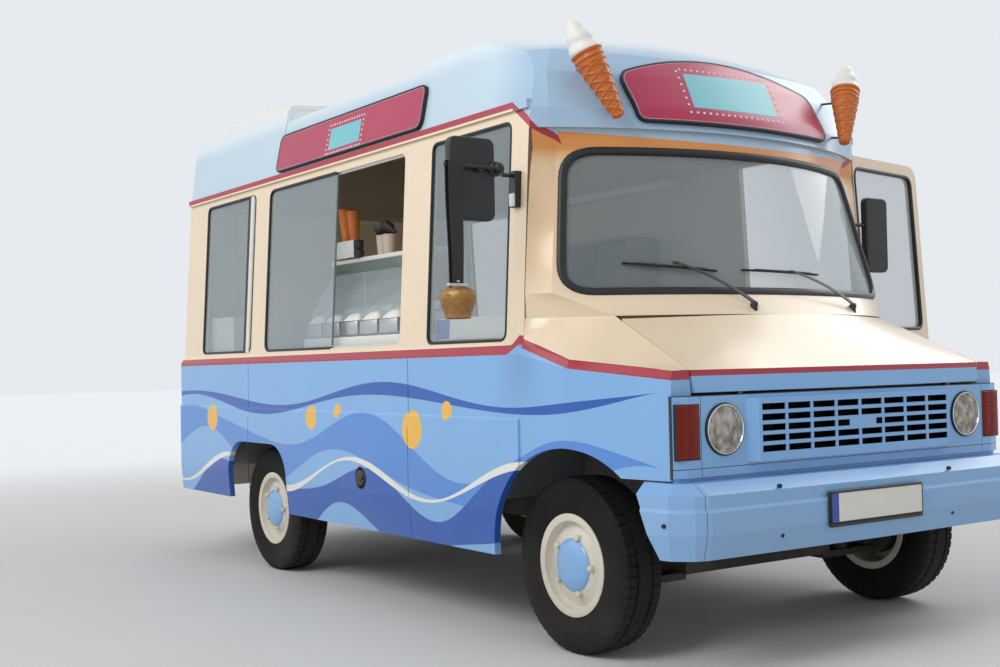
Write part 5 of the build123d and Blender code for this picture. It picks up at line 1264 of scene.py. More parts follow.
@dataclass
class Signs:
    """The roof's lit signs: rubber frame, red panel, teal centre and a border of white dots. All blank."""

    side_x: Span = (-2550.0, -1020.0)
    side_z: Span = (2178.0, 2384.0)
    side_r: float = 48.0
    side_lift: float = 15.0
    teal_x: Span = (-1932.0, -1610.0)
    front_lift: float = 17.0
    dot: float = 6.0

    def front_outline(self) -> Array:
        """The front sign's outline: z = 2390 - 104 (y / 562)^2 along its crown, and rounded corners."""
        y = np.linspace(520, -520, 41)
        crown = np.stack([y, 2390 - 104 * (y / 562) ** 2], axis=-1)
        high = crown[0, 1]
        return np.vstack([
            crown, bend((-520, high), (-562, 2286), (-558, 2230)), bend((-551, 2120), (-548, 2076), (-506, 2076)),
            bend((506, 2076), (548, 2076), (551, 2120)), bend((558, 2230), (562, 2286), (520, high))])

    def dots(self, piece: Piece, outline: Array, face: Face, count: int) -> None:
        """Sets small white buttons round an outline."""
        r = self.dot
        for at in spread(outline, count):
            centre, out = face(at[None], 0.0)[0], face(at[None], 1.0)[0]
            piece.add(spin([(0, -1), (r, -1), (r, 0.8), (0.7 * r, 1.8), (0, 2.0)], centre, out - centre, 8))

    def build(self) -> None:
        """Builds the three signs, each a row of its face, its frame's lift, outline, centre, border and dots."""
        frames, panels = Piece("sign_frames", Palette.seal), Piece("sign_panel_faces", Palette.red)
        centres, dots = Piece("sign_centres", Palette.teal), Piece("sign_dots", Palette.white)
        lines = Piece("sign_inner_lines", Palette.sign_line)
        section = [(-2, -14), (-2, 0), (0, 4), (4, 5), (8, 3), (9, 0), (9, -3), (3, -14)]
        thin = [(9, -3), (9, 2.6), (12, 2.6), (12, -3)]
        loop = panel(self.side_x, self.side_z, self.side_r, 8)
        teal = refine(rectangle(self.teal_x, (2210, 2322)), 60.0)
        border = refine(rectangle((self.teal_x[0] - 22, self.teal_x[1] + 22), (2192, 2340)), 60.0)
        signs = [(lifted(SideFace(side, SIGN_LINE), self.side_lift), 1.0, loop, teal, border, 40) for side in Side]
        loop = refine(self.front_outline(), 30.0)
        teal = refine([(-272, 2143), (205, 2143), (260, 2318), (-236, 2308)], 40.0)
        border = refine([(-300, 2124), (226, 2124), (288, 2338), (-262, 2328)], 40.0)
        signs.append((lifted(ROOF_FACE, self.front_lift), 0.0, loop, teal, border, 46))
        for face, up, loop, teal, border, count in signs:
            frames.add(bead(loop, lifted(face, up), section))
            panels.add(sheet_on(inset(loop, 7.0), face, 3.0))
            lines.add(bead(loop, lifted(face, 1.0), thin))
            centres.add(sheet_on(teal, lifted(face, 2.0), 2.5))
            self.dots(dots, border, lifted(face, 3.5), count)
        for piece in (lines, frames, panels, centres, dots):
            piece.done(replaces=("sign_panels",) if piece is panels else ())


@dataclass
class RoofSteps:
    """Plates that close the roof's two steps, between the arches on both sides of each."""

    steps: tuple = ((-2560.0, -2547.0, (834.0, 2564.0, 2600.0), (844.0, 2486.0, 2520.0)),
                    (-1073.0, -1060.0, (839.0, 2514.0, 2575.0), (844.0, 2474.0, 2520.0)))

    def height(self, y: Array, arch: Point) -> Array:
        """Height of an arch: crown - R + sqrt(R^2 - y^2) up to its knee, and past it falling by 20 and 52 mm."""
        knee, low, crown = arch
        radius = (knee**2 + (crown - low) ** 2) / (2 * (crown - low))
        over = crown - radius + np.sqrt(radius**2 - np.minimum(np.abs(y), knee) ** 2)
        return over - np.interp(np.abs(y) - knee, [0, 36, 50], [0, 20, 52])

    def build(self) -> None:
        """Builds both plates."""
        piece = Piece("roof_step_plates", Palette.roof)
        y = np.linspace(-880, 880, 121)
        for x0, x1, upper, lower in self.steps:
            up, low = self.height(y, upper) - 3.0, self.height(y, lower) - 12.0
            corners = (points_of(x0, y, low), points_of(x1, y, low), points_of(x1, y, up), points_of(x0, y, up))
            piece.add(grid(np.stack(corners, axis=1)))
        piece.done()


@dataclass
class RoofCones:
    """The two giant cornets that lean outwards at the front corners of the roof."""

    foot: Point = (20.0, 665.0, 2080.0)
    tip: Point = (-95.0, 818.0, 2475.0)
    radius: float = 68.0
    pitch: float = 38.0
    ridge: float = 4.5
    brackets: tuple = ((2120.0, -65.0), (2300.0, -177.0))

    def shell(self, height: Array, angle: Array, length: float) -> Array:
        """Radius of the waffle cone.

        It grows in a straight line from the foot, and gains raised lines where height / pitch plus or minus
        the angle's turns is near a whole number.
        """
        base = 20 + (self.radius * 0.86 - 20) * (height / length)
        lines = [np.abs(((height / self.pitch + way * angle / (2 * np.pi)) % 1.0) - 0.5) for way in (3, -3)]
        return base + self.ridge * np.clip((np.maximum(*lines) - 0.34) / 0.1, 0, 1)

    def build(self) -> None:
        """Builds both cornets: waffle shell, ringed collar, swirl of ice and the rods that hold them."""
        shells = Piece("cornet_shells", Palette.cone, crease=50)
        ice = Piece("cornet_ice", Palette.ice, crease=60)
        rods = Piece("cornet_rods", Palette.rod)
        foot, tip, r = np.array(self.foot), np.array(self.tip), self.radius
        axis = unit(tip - foot)
        first = unit(np.cross(axis, (0, 0, 1)))
        second = np.cross(axis, first)
        full = float(np.linalg.norm(tip - foot))
        h = full * 0.55
        angle = full_turn(96)[None, :]
        ring = np.cos(angle)[..., None] * first + np.sin(angle)[..., None] * second
        height = np.linspace(8, h, 150)[:, None]
        body = foot + height[..., None] * axis + self.shell(height, angle, h)[..., None] * ring
        nose = foot + np.array([0.0, 4.0])[:, None, None] * axis + np.array([8.0, 17.0])[:, None, None] * ring
        shells.both(grid(np.concatenate([nose, body])))
        collar = [(0, -8), (0.8 * r, -8), (0.92 * r, -3), (0.92 * r, 9), (0.86 * r, 12), (0.86 * r, 17),
                  (0.94 * r, 20), (0.94 * r, 31), (0.89 * r, 34), (0.89 * r, 39), (0.98 * r, 43), (r, 50),
                  (0.96 * r, 53), (0.85 * r, 51), (0, 48)]
        shells.both(spin(np.array(collar) + (0, h), foot, axis, 72)).done(replaces=("roof_cones",))
        t = np.linspace(0, 1, 110)[:, None]
        swirl = r * 0.93 * (1 - t**2.2) ** 0.62 * (1 - 0.18 * t)
        wave = 4.5 * (1 - t) * np.sin(2 * np.pi * (t * 2.6 - angle / (2 * np.pi)))
        rise = h + 46 + t * (full - h - 46)
        lean = 9.0 * t[..., None] ** 3 * first
        ice.both(grid(foot + rise[..., None] * axis + (swirl + wave)[..., None] * ring + lean)).done()
        for z, x in self.brackets:
            at = foot + (z - foot[2]) / (tip[2] - foot[2]) * (tip - foot)
            end = np.array([x, at[1] - 25, z])
            rods.both(tube([at, (at + end) / 2 + (0, 0, -4), end], 5.0, sides=12))
            rods.both(spin([(0, -3), (15, -3), (15, 2), (0, 4)], end, (1, 0, 0.25), 20))
        rods.done()


@dataclass
class Mirrors:
    """Glass and rims of the two mirrors and the right arm's joint, on the CAD node's heads and arms."""

    right: tuple = ((-168.0, -134.0), (-1368.0, -1164.0), (1660.0, 1978.0))
    left: tuple = ((-168.0, -134.0), (990.0, 1143.0), (1515.0, 1874.0))
    joint: Point = (-112.0, -1164.0, 1862.0)
    joint_r: float = 23.0

    def build(self) -> None:
        """Builds the silvered glass, its rim, and the ball and cup of the right arm: a half circle turned round."""
        glass, rims = Piece("mirror_glass", Palette.mirror), Piece("mirror_rims", Palette.seal)
        rim = [(-5, -1), (-5, 1.5), (-2, 2.5), (2, 1.5), (2, -1)]
        for x, y, z in (self.right, self.left):
            loop = panel((y[0] + 12, y[1] - 12), (z[0] + 12, z[1] - 12), 22.0)
            face = FlatFace(x[0], -1)
            glass.add(sheet_on(loop, face, 0.8, 0.4))
            rims.add(bead(loop, face, rim))
        glass.done()
        rims.done()
        clamp = Piece("mirror_clamps", Palette.plastic)
        angle = np.linspace(0, np.pi, 15)
        ball = self.joint_r * np.stack([np.sin(angle), -np.cos(angle)], axis=-1)
        for profile in (ball, [(0, -24), (30, -24), (30, -19), (24, -14), (19, -3), (0, -3)]):
            clamp.add(spin(profile, self.joint, (1, 0, 0), 32))
        clamp.done()
        cover = Piece("mirror_bracket_cover", Palette.white)
        cover.boxes(((-268, -1012, 1738), (-232, -960, 1792), 8, 4)).done()


@dataclass
class Bell:
    """A hand-hammered brass bell hung by a black strap over the right mirror's arm."""

    x: float = -104.0
    y: float = -1366.0
    foot: float = 1285.0
    head: float = 1410.0
    radius: float = 70.0
    arm_z: float = 1862.0
    station: tuple = (0, 0.05, 0.12, 0.3, 0.48, 0.64, 0.76, 0.86, 0.94, 1.0)
    girth: tuple = (0.68, 0.71, 0.72, 0.84, 0.95, 1.0, 0.985, 0.92, 0.78, 0.5)

    def pot(self) -> None:
        """Builds the bell's pot.

        Its radius follows the girth at each station of the height, from a rolled lip to round shoulders, and
        small dents of 0.8 sin(9 a + 3 h) sin(h / 6) are hammered into it.
        """
        height, r, foot = self.head - self.foot, self.radius, (self.x, self.y, self.foot)
        t = np.linspace(0, 1, 60)[:, None]
        angle = full_turn(120)[None, :]
        dents = 0.8 * np.sin(9 * angle + 3 * t) * np.sin(t * height / 6.0)
        outer = r * np.interp(t, self.station, self.girth) - 1.0 + dents
        radius = np.concatenate([outer, (outer - 3.0)[::-1]])
        lift = np.concatenate([t * (height - 8), (t * (height - 10))[::-1]])
        points = points_of(self.x + radius * np.cos(angle), self.y + radius * np.sin(angle), self.foot + lift)
        crown = [(0, height - 10), (r * 0.48, height - 10), (r * 0.46, height - 6), (14, height - 3), (0, height - 2)]
        pot = Piece("bell_pot", Palette.brass, crease=60).add(grid(points, wrap_u=True))
        pot.add(spin(crown, foot, (0, 0, 1), 40)).done(replaces=("bell",))

    def hanger(self) -> None:
        """Builds the bar under the strap, its bolt and the clapper."""
        x, y, z = self.x, self.y, self.head
        bar = Piece("bell_hanger", Palette.steel).boxes(((x - 9, y - 44, z - 6), (x + 9, y + 44, z + 8), 4, 3))
        bar.add(spin([(0, -12), (7, -12), (7, 10), (10, 12), (10, 18), (0, 20)], (x, y, z), (0, 0, 1), 14))
        clapper = [(0, 13), (12, 17), (16, 29), (12, 41), (3, 47), (3, 105), (0, 105)]
        bar.add(spin(clapper, (x, y, self.foot - 5), (0, 0, 1), 20)).done()

    def strap(self) -> None:
        """Builds the strap's two runs, which sway by 2.5 sin(h / 70) and widen upwards, and its arch on the arm."""
        strap = Piece("bell_strap", Palette.leather)
        middle, top = self.x - 8, self.arm_z + 12
        z = np.linspace(self.head - 4, top, 60)
        sway = 2.5 * np.sin((z - self.head) / 70.0)
        profile = np.array([(-29, -2), (29, -2), (31, 0), (29, 2), (-29, 2), (-31, 0)], float)
        wide = profile[:, 0] * np.interp(z, [self.head, top], [0.76, 1.12])[:, None]
        for side in (-13.0, 13.0):
            path = points_of(middle + side + sway, self.y, z)
            strap.add(grid(path[:, None] + points_of(profile[:, 1], wide, 0.0)))
        angle = np.linspace(0, np.pi, 16)
        arch = points_of(middle + 13 * np.cos(angle), self.y, top + 6 * np.sin(angle) - 1)
        strap.add(grid(arch[:, None] + np.array([(0, -34, 0), (0, 34, 0), (0, 34, -3), (0, -34, -3)], float)))
        strap.done()

    def build(self) -> None:
        """Builds the bell and its strap."""
        self.pot()
        self.hanger()
        self.strap()


@dataclass
class DriverDoor:
    """Seal, handle, lock and inner trim of the open driver's door, drawn shut and then swung."""

    x: Span = (-905.0, -198.0)
    z: Span = (420.0, 2105.0)
    thick: float = 34.0

    def inner(self, flat: Array, lift: float) -> Array:
        """Points of the door's inner face, moved further in by lift."""
        return LEFT_FACE(flat, -self.thick - lift)

    def build(self) -> None:
        """Builds the pieces on both faces of the door, each sheet a row of (outline, face, thickness, edge)."""
        body, (x0, x1), (z0, z1) = "door_body", self.x, self.z
        seal = Piece("door_seal", Palette.seal, body)
        loop = panel((x0 + 16, x1 - 16), (z0 + 16, z1 - 16), 60.0, 7)
        seal.add(bead(loop, self.inner, [(-6, -3), (-6, 3), (-3, 5), (3, 5), (6, 3), (6, -3)])).swing().done()
        for name, finish, rows in (
            ("door_card", Palette.door_card, (
                (panel((x0 + 60, x1 - 60), (z0 + 190, 1150), 30.0), self.inner, 9.0, 4.0),)),
            ("door_pull", Palette.plastic, (
                (panel((-760, -520), (930, 985), 20.0, 5, 40.0), self.inner, 24.0, 8.0),
                (panel((-420, -340), (960, 1010), 16.0, 5, 40.0), self.inner, 18.0, 6.0))),
            ("door_handle", Palette.plastic, (
                (panel((-868, -738), (1018, 1066), 12.0, 5, 40.0), LEFT_FACE, 5.0, 2.0),
                (panel((-850, -762), (1028, 1056), 9.0, 5, 40.0), lifted(LEFT_FACE, 3.0), 14.0, 5.0))),
        ):
            piece = Piece(name, finish, body)
            for row in rows:
                piece.add(sheet_on(*row))
            piece.swing().done()
        lock = Piece("door_lock", Palette.steel, body)
        at = LEFT_FACE(np.array([[-818.0, 985.0]]), 0.0)[0]
        lock.add(spin([(0, -2), (11, -2), (11, 2), (8, 4), (3, 4), (2, 1), (0, 1)], at, (0, 1, 0), 24)).swing().done()


@dataclass
class Cab:
    """Driver's seat and the dashboard's details."""

    seat_y: float = 560.0

    def pad(self, name: str, low: tuple, high: tuple, crown: float, channels: int, axis: int) -> None:
        """Builds one padded form.

        Its face is a rounded box pushed out by crown * (1 - u^4)(1 - v^4), with sewn channels of depth
        3 |cos(channels * pi * u / 2)|^10 across it and a piped seam round its middle.

        Args:
            name: Name of the piece.
            low: Lowest corner.
            high: Highest corner.
            crown: Height of the crown.
            channels: Number of sewn channels.
            axis: The axis that the crown faces: 2 for a cushion, 0 for a back.
        """
        low, high = np.array(low, float), np.array(high, float)
        u, v = square(61)
        edge = np.clip(1 - np.abs(u) ** 6 - np.abs(v) ** 6, 0, 1) ** 0.35
        groove = 3.0 * np.abs(np.cos(channels * np.pi * u / 2)) ** 10 * edge * (np.abs(v) < 0.72)
        fold = 2.4 * np.exp(-((np.abs(v) - 0.72) / 0.03) ** 2) * edge
        across, along = (1, 0) if axis == 2 else (1, 2)
        centre, half = (low + high) / 2, (high - low) / 2
        swell = crown * (1 - u**4) * (1 - v**4)
        narrow = 1 - 0.02 * (1 - edge)
        piece = Piece(name, Palette.vinyl, crease=80)
        for sign, raised in ((1, swell - groove - fold), (-1, swell * 0.35)):
            sheet = np.zeros((61, 61, 3))
            sheet[..., across] = centre[across] + half[across] * u * narrow
            sheet[..., along] = centre[along] + half[along] * v * narrow
            sheet[..., axis] = centre[axis] + sign * np.maximum(edge * (half[axis] - crown) + raised, 0.0)
            points, faces = grid(sheet, wrap_v=False, cap=False)
            piece.add((points, [face[::sign] for face in faces]))
        made = piece.done(replaces=("seats",) if axis == 2 else ())

    def seat(self) -> None:
        """Builds cushion and back, the box and rails under them, and the frame's rods."""
        middle, y0, y1 = self.seat_y, self.seat_y - 228, self.seat_y + 228
        self.pad("seat_cushion", (-925, y0, 862), (-484, y1, 962), 18, 5, 2)
        self.pad("seat_back", (-1008, y0 + 4, 950), (-902, y1 - 4, 1455), 16, 5, 0)
        base = Piece("seat_base", Palette.chassis)
        base.boxes(((-900, middle - 180, 585), (-560, middle + 180, 850), 14),
                   ((-920, middle - 150, 845), (-500, middle - 138, 864), 4),
                   ((-920, middle + 138, 845), (-500, middle + 150, 864), 4)).done()
        frame = Piece("seat_frame", Palette.plastic)
        for y in (y0 + 6, y1 - 6):
            path = [(-860, y, 880), (-930, y, 900), (-960, y, 1000), (-975, y, 1250)]
            frame.add(tube(path, 11, (0, 1, 0), 12))
        frame.done()

    def dashboard(self) -> None:
        """Builds dials with their marks and glass, and the vents, on the dashboard's rear face."""
        dials, glass = Piece("dash_dials", Palette.plastic), Piece("dial_glass", Palette.lens)
        marks, vents = Piece("dial_marks", Palette.white), Piece("dash_vents", Palette.seal)
        way = unit((-1.0, 0, 0.25))
        first = unit(np.cross(way, (0, 1, 0)))
        second = np.cross(way, first)
        for y, r in ((400, 42), (505, 52), (610, 42)):
            at = np.array([-252.0, y, 1178.0])
            dials.add(spin([(0, -6), (r, -6), (r, 8), (r - 4, 10), (r - 6, 4), (0, 3)], at, way, 40))
            glass.add(spin([(0, 5), (r - 6, 5), (r - 6, 6.5), (0, 7)], at, way, 40))
            for turn in np.linspace(-2.2, 2.2, 11):
                spot = at + way * 4.2 + (np.cos(turn) * first + np.sin(turn) * second) * (r - 12)
                marks.add(spin([(0, 0), (1.6, 0), (1.6, 0.6), (0, 0.6)], spot, way, 6))
        vents.boxes(*(((-262, y - 60, z), (-246, y + 60, z + 7), 2, 2)
                      for y in (-620, -380, 120) for z in range(1120, 1192, 12)))
        for piece in (dials, glass, marks, vents):
            piece.done()

    def build(self) -> None:
        """Builds the cab's insides."""
        self.seat()
        self.dashboard()


@dataclass
class Shop:
    """What shows through the windows: display case, goods, cupboards, machine, blind and the spare plate."""

    case_x: Span = (-2240.0, -1240.0)
    case_top: float = 1674.0

    def display(self) -> None:
        """Builds the white display case with its glass front and the tubs of ice behind it."""
        x0, x1 = self.case_x
        case = Piece("display_case", Palette.white)
        case.boxes(((x0, -960, 1202), (x1, -560, 1262), 8), ((x0, -790, 1650), (x1, -560, 1674), 6),
                   ((x0 + 10, -600, 1255), (x0 + 28, -570, 1655), 4),
                   ((x1 - 28, -600, 1255), (x1 - 10, -570, 1655), 4)).done()
        band = Piece("display_band", Palette.display_band)
        band.boxes(((x0 + 4, -784, 1596), (x1 - 4, -776, 1652), 3)).done()
        t = np.linspace(0, 1, 24)
        bow = np.stack([-952 + 168 * t**1.6, 1258 + 340 * t], axis=-1)
        loop = np.vstack([bow, (bow + (6, 0))[::-1]])
        ends = [np.column_stack([np.full(len(loop), x), loop]) for x in (x0 + 12, x1 - 12)]
        Piece("display_glass", Palette.glass).add(grid(np.stack(ends))).done()
        self.tubs(x0 + 110)

    def tubs(self, start: float) -> None:
        """Builds two rows of steel tubs, and in each a mound of 46 (1 - u^4)(1 - v^4) with low waves."""
        tubs, mounds = Piece("ice_tubs", Palette.steel), Piece("ice_in_tubs", Palette.ice, crease=60)
        u, v = square(25)
        for row, y in enumerate((-880.0, -700.0)):
            z = row * 40
            for step in range(5):
                x = start + step * 195
                tubs.boxes(((x - 86, y - 80, 1264), (x + 86, y + 80, 1340 + z), 10))
                waves = 6 * np.sin(3 * u + step) * np.cos(4 * v + row) * (1 - u**2) * (1 - v**2)
                dome = 46 * (1 - u**4) * (1 - v**4) + waves
                mounds.add(slab(points_of(x + 80 * u, y + 74 * v, 1336 + z + dome),
                                points_of(x + 80 * u, y + 74 * v, 1330 + z)))
        tubs.done()
        mounds.done()

    def goods(self) -> None:
        """Builds the ribbed cornet stacks, the cup stacks with dark cones in them, a card and two jars."""
        floor, up = self.case_top, (0, 0, 1)
        stack = Piece("cornet_stacks", Palette.wafer, crease=50)
        t = np.linspace(0, 1, 140)[:, None]
        angle = full_turn(48)[None, :]
        radius = 18 + 16 * t + 2.2 * np.abs(np.sin(np.pi * t * 15))
        across, along = radius * np.cos(angle), radius * np.sin(angle)
        for x, y, lean, top in ((-2140.0, -735.0, 45.0, 1950.0), (-2080.0, -725.0, 30.0, 1935.0)):
            stack.add(grid(points_of(x - lean * t + across, y + along, floor + (top - floor) * t)))
        stack.done()
        cups = Piece("cup_stack", Palette.cup)
        cup = [(0, 0), (27, 0), (34, 96), (36, 98), (36, 103), (33, 104), (0, 100)]
        for x in (-1800.0, -1735.0):
            cups.add(spin(cup, (x, -720, floor), up, 36))
        cups.done()
        cones = Piece("dark_cones", Palette.chocolate, crease=50)
        cone = [(0, -42), (6, -40), (27, 24), (29, 34), (24, 40), (0, 38)]
        for x, y, turn in ((-1842.0, -720.0, 0.5), (-1800.0, -732.0, 1.2), (-1762.0, -712.0, 1.9),
                           (-1716.0, -724.0, 2.6), (-1780.0, -700.0, 0.1)):
            way = (math.cos(turn) * 0.8, -0.35, 0.3 + 0.2 * math.sin(turn * 3))
            cones.add(spin(cone, (x, y, 1806), way, 28))
        cones.done()
        Piece("blank_card", Palette.white).boxes(((-2150, -805, 1678), (-1960, -799, 1768), 2, 2)).done()
        jars = Piece("dark_jars", Palette.chocolate)
        for z in (1676, 1722):
            jars.add(spin([(0, 0), (24, 0), (26, 6), (26, 36), (20, 42), (0, 43)], (-1930, -790, z), up, 28))
        jars.done()

    def fittings(self) -> None:
        """Builds the counter's edge, the ceiling lamp, the wall cupboard, the cupboards' fronts and the machine."""
        Piece("counter_edge", Palette.steel).boxes(((-2698, -984, 1176), (-1122, -976, 1204), 3)).done()
        Piece("ceiling_lamp", Palette.white).boxes(((-2950, 700, 2040), (-1250, 790, 2085), 10)).done()
        Piece("wall_cupboard", Palette.wood).boxes(
            ((-2650, 700, 1500), (-1560, 920, 1516), 3), ((-2650, 700, 1790), (-1560, 920, 1806), 3),
            ((-2650, 905, 1500), (-1560, 921, 1806), 3),
            *(((x, 700, 1500), (x + 16, 920, 1806), 3) for x in (-2650.0, -2100.0, -1576.0))).done()
        doors, handles = Piece("cupboard_fronts", Palette.white), Piece("cupboard_handles", Palette.steel)
        for x in np.arange(-3180.0, -1300.0, 380.0):
            doors.boxes(((x, 552, 640), (x + 366, 561, 1120), 4))
            grip = x + 320
            path = [(grip, 556, 930), (grip, 540, 935), (grip, 540, 1035), (grip, 556, 1040)]
            handles.add(tube(path, 5, (1, 0, 0), 10))
        doors.done()
        handles.done()
        machine = Piece("ice_machine", Palette.steel)
        machine.boxes(((-3210, -300, 1130), (-3190, 300, 1410), 6), ((-3190, -180, 960), (-3110, 180, 985), 6))
        for y in (-110.0, 0.0, 110.0):
            at = (-3165, y, 1255)
            machine.add(spin([(0, 0), (24, 0), (24, 40), (14, 60), (14, 74), (0, 74)], at, (0, 0, -1), 28))
            machine.add(spin([(0, -6), (5, -6), (5, 60), (11, 64), (11, 78), (0, 82)], at, (0.6, 0, 0.8), 18))
        machine.boxes(((-3195, -200, 1240), (-3135, 200, 1290), 10)).done()

    def blind(self) -> None:
        """Builds the beige blind that hangs inside the back window, with its tube and bottom bar."""
        made = Piece("window_blind", Palette.blind)
        made.add(sheet_on(panel((-668, 668), (1188, 2088), 12.0, 4), FlatFace(-3772.0), 2.0, 0.8))
        for z, r in ((2094.0, 17.0), (1192.0, 8.0)):
            made.add(tube([(-3764, y, z) for y in (-672, 0, 672)], r, sides=20))
        made.done()

    def plate(self) -> None:
        """Builds the spare blank plate that lies inside the cab window, with its blue band."""
        for name, finish, x, z, corner, lift, thick, edge in (
            ("cab_window_plate", Palette.plate, (-894, -331), (1222, 1316), 8.0, -30.0, 2.0, 0.6),
            ("cab_plate_band", Palette.plate_band, (-890, -777), (1226, 1312), 6.0, -28.4, 1.0, 0.3),
        ):
            sheet = sheet_on(panel(x, z, corner, 4), lifted(RIGHT_FACE, lift), thick, edge)
            Piece(name, finish).add(sheet).done()

    def build(self) -> None:
        """Builds the shop's fittings."""
        self.display()
        self.goods()
        self.fittings()
        self.blind()
        self.plate()


@dataclass
class Underside:
    """Coil springs between the front wheels, and the exhaust's tip."""

    spring_y: float = 560.0
    coil_r: float = 55.2
    coil_z: Span = (285.0, 400.0)
    turns: float = 6.5

    def build(self) -> None:
        """Builds the coil springs, whose line is a helix with closed ends, and the exhaust's tip."""
        coils = Piece("front_springs", Palette.chassis)
        turn = np.linspace(0, self.turns * 2 * np.pi, 260)
        low, high = self.coil_z
        height = low + (high - low) * np.clip((turn / turn[-1] - 0.06) / 0.88, 0, 1)
        path = points_of(self.coil_r * np.cos(turn), self.spring_y + self.coil_r * np.sin(turn), height)
        coils.both(tube(path, 6.5, (0, 0, 1), 8)).done()
        pipe = spin([(18, -40), (23.5, -40), (23.5, 0), (18, 0)], (-2200, 620, 440), (-1, 0, 0), 28, ring=True)
        Piece("exhaust_tip", Palette.browned).add(pipe).done()


@dataclass
class Rear:
    """Tail lamps' lenses, the fuel filler and the side panels' seams."""

    lamp_y: Span = (850.0, 960.0)
    lamp_z: Span = (760.0, 1010.0)

    def lamps(self) -> None:
        """Builds three-part lenses: x = -3842 with fine ribs of 0.8 |sin(pi z / 7)|, amber over red over white."""
        (y0, y1), (z0, z1) = self.lamp_y, self.lamp_z
        y = np.array([y0 + 4, y0 + 7, y1 - 7, y1 - 4])
        edge = np.array([8.0, 0.0, 0.0, 8.0])
        for name, finish, low, high, nodes in (
            ("turn_lenses", Palette.amber, z1 - 78, z1 - 4, ("tail_lamps",)),
            ("stop_lenses", Palette.tail, z0 + 66, z1 - 82, ()),
            ("reversing_lenses", Palette.lens, z0 + 4, z0 + 62, ()),
        ):
            z = np.linspace(low, high, 60)[:, None]
            front = points_of(-3842 + edge + 0.8 * np.abs(np.sin(np.pi * z / 7.0)), y, z)
            Piece(name, finish, crease=50).both(slab(front, points_of(-3818.0, y, z))).done(replaces=nodes)
        base = Piece("tail_lamp_bases", Palette.seal)
        base.both(sheet_on(panel(self.lamp_y, self.lamp_z, 10.0, 5), REAR_FACE, 10.0, 2.0)).done()

    def filler(self) -> None:
        """Builds the black filler cap on the right side, with its grip bar."""
        cap = Piece("fuel_filler", Palette.plastic)
        at = np.array([-1483.0, -1045.0, 587.0])
        profile = [(0, -6), (55, -6), (55, 0), (48, 3), (46, 0), (40, 0), (38, 4), (30, 5.5), (0, 6)]
        cap.add(spin(profile, at, (0, -1, 0), 48))
        cap.boxes((at + (-32, -14, -6), at + (32, -2, 6), 4)).done()

    def seams(self) -> None:
        """Builds the dark joints between body panels as thin strips on the side."""
        joints = Piece("panel_joints", Palette.gap)
        for face in (RIGHT_FACE, LEFT_FACE):
            for x in (-2790.0, -1040.0):
                path = refine([(x, 360.0), (x, 1148.0)], 60.0, closed=False)
                joints.add(strip(path, face, [(-1.1, -2), (1.1, -2), (1.1, 0.5), (-1.1, 0.5)]))
        joints.done()

    def build(self) -> None:
        """Builds the rear's details."""
        self.lamps()
        self.filler()
        self.seams()


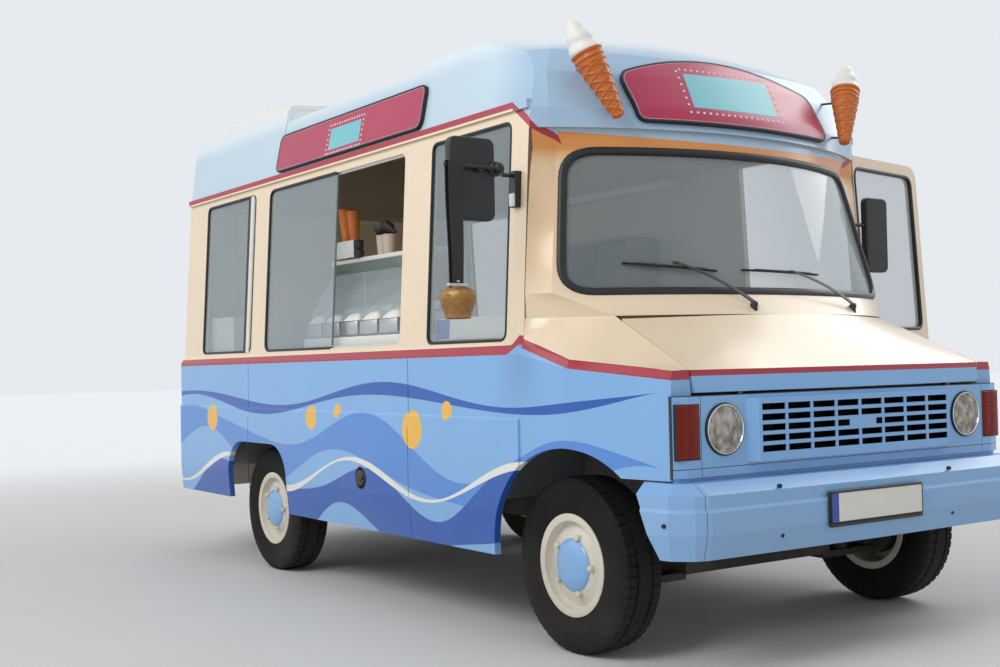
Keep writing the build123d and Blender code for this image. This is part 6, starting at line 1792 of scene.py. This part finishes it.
@dataclass
class Studio:
    """Floor, pale surroundings, lamps and the camera."""

    floor: Colour = (0.7, 0.685, 0.66)
    floor_size: float = 60.0
    world: float = 0.56
    backdrop: Colour = (0.93, 0.96, 1.0)
    bright: float = 0.86
    eye: Point = (5.52289, -4.11703, 1.121248)
    yaw: float = 145.38432
    pitch: float = 1.264453
    roll: float = -1.196784
    lens: float = 46.345
    lamps: tuple = (("Key lamp", (3.4, -9.2, 7.8), (0.2, 0.0, 1.2), 430.0, 4.5),
                    ("Fill lamp", (-5.0, -8.5, 5.5), (0.0, 0.0, 1.2), 140.0, 6.0),
                    ("Back lamp", (1.0, 8.0, 7.0), (0.0, 0.0, 1.4), 300.0, 6.0))

    def stand(self, data: bpy.types.ID, right: Array, up: Array, back: Array, at: Point) -> bpy.types.Object:
        """Makes an object of a camera or light, with its place and the directions of its three axes."""
        made = bpy.data.objects.new(data.name, data)
        made.matrix_world = Matrix([*zip(right, up, back, at), (0, 0, 0, 1)])
        bpy.context.scene.collection.objects.link(made)
        return made

    def camera(self) -> None:
        """Sets the camera from its place, yaw, pitch and roll."""
        yaw, pitch, roll = (math.radians(a) for a in (self.yaw, self.pitch, self.roll))
        ahead = np.array([math.cos(pitch) * math.cos(yaw), math.cos(pitch) * math.sin(yaw), math.sin(pitch)])
        right = np.array([math.sin(yaw), -math.cos(yaw), 0.0])
        up = np.cross(right, ahead)
        data = bpy.data.cameras.new("Camera")
        data.lens, data.sensor_width, data.clip_end = self.lens, 36.0, 200.0
        bpy.context.scene.camera = self.stand(data, math.cos(roll) * right + math.sin(roll) * up,
                                              math.cos(roll) * up - math.sin(roll) * right, -ahead, self.eye)

    def lamp(self, name: str, at: Point, aim: Point, power: float, size: float) -> None:
        """Adds a square soft lamp."""
        data = bpy.data.lights.new(name, "AREA")
        data.energy, data.size = power, size
        back = unit(np.array(at) - np.array(aim))
        right = unit(np.cross((0, 0, 1), back))
        self.stand(data, right, np.cross(back, right), back, at)

    def seen(self, n: Nodes) -> Socket:
        """1 for rays of the camera, of gloss and through glass."""
        path = n.new("LightPath").outputs
        ahead = n.math("MAXIMUM", path["Is Camera Ray"], path["Is Glossy Ray"])
        return n.math("MAXIMUM", ahead, path["Is Transmission Ray"])

    def stage(self) -> None:
        """Lays a wide floor that shows the shadow and fades into the backdrop's colour far out."""
        mesh = bpy.data.meshes.new("Floor")
        mesh.from_pydata([(*corner, 0.0) for corner in rectangle((-self.floor_size, self.floor_size),
                                                                 (-self.floor_size, self.floor_size))],
                         [], [(0, 1, 2, 3)])
        made = bpy.data.objects.new("Floor", mesh)
        material = bpy.data.materials.new("Pale floor")
        material.use_nodes = True
        n = Nodes(material.node_tree)
        shader = material.node_tree.nodes["Principled BSDF"]
        x, y, _ = n.axes(n.where())
        fade = n.math("MULTIPLY", n.step(n.reach(x, y), 3.6, 11.0), self.seen(n))
        floor = n.mix(n.noise(n.where(), 1.6, 5.0), self.floor, tuple(c * 1.06 for c in self.floor))
        n.fill(shader, Base_Color=n.mix(fade, floor, (0.0, 0.0, 0.0)), Emission_Color=self.backdrop,
               Emission_Strength=n.math("MULTIPLY", fade, self.bright), Specular_IOR_Level=0.1, Roughness=0.8)
        mesh.materials.append(material)
        bpy.context.scene.collection.objects.link(made)

    def sky(self) -> None:
        """Lights the scene evenly, with a pale backdrop for the camera and for reflections."""
        world = bpy.data.worlds.new("World")
        bpy.context.scene.world = world
        world.use_nodes = True
        tree = world.node_tree
        tree.nodes.clear()
        n = Nodes(tree)
        strength = n.math("MULTIPLY_ADD", self.seen(n), self.bright - self.world, self.world)
        background = n.new("Background", Color=self.backdrop, Strength=strength)
        n.new("OutputWorld", Surface=background.outputs[0])

    def build(self) -> None:
        """Builds the whole studio."""
        bpy.context.scene.view_settings.view_transform = "Standard"
        self.stage()
        self.sky()
        for row in self.lamps:
            self.lamp(*row)
        self.camera()


def dress_nodes(nodes: dict[str, bpy.types.Object]) -> None:
    """Gives every CAD node its finish."""
    for finish, names in NODE_FINISHES:
        material = finish.material()
        for name in names.split():
            slots = nodes[name].material_slots
            for slot in slots:
                slot.material = material
            if not slots:
                nodes[name].data.materials.append(material)


def main() -> None:
    """Builds the pieces in order."""
    logging.basicConfig(level=logging.INFO, format="%(name)s %(message)s")
    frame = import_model()
    dress_nodes(frame["nodes"])
    for part in (Wheels(), Windscreen(), Glazing(), Nose(), Signs(), RoofSteps(), RoofCones(), Mirrors(), Bell(),
                 DriverDoor(), Cab(), Shop(), Underside(), Rear(), Studio()):
        part.build()
        log.info("%s built", type(part).__name__)


if __name__ == "__main__":
    main()
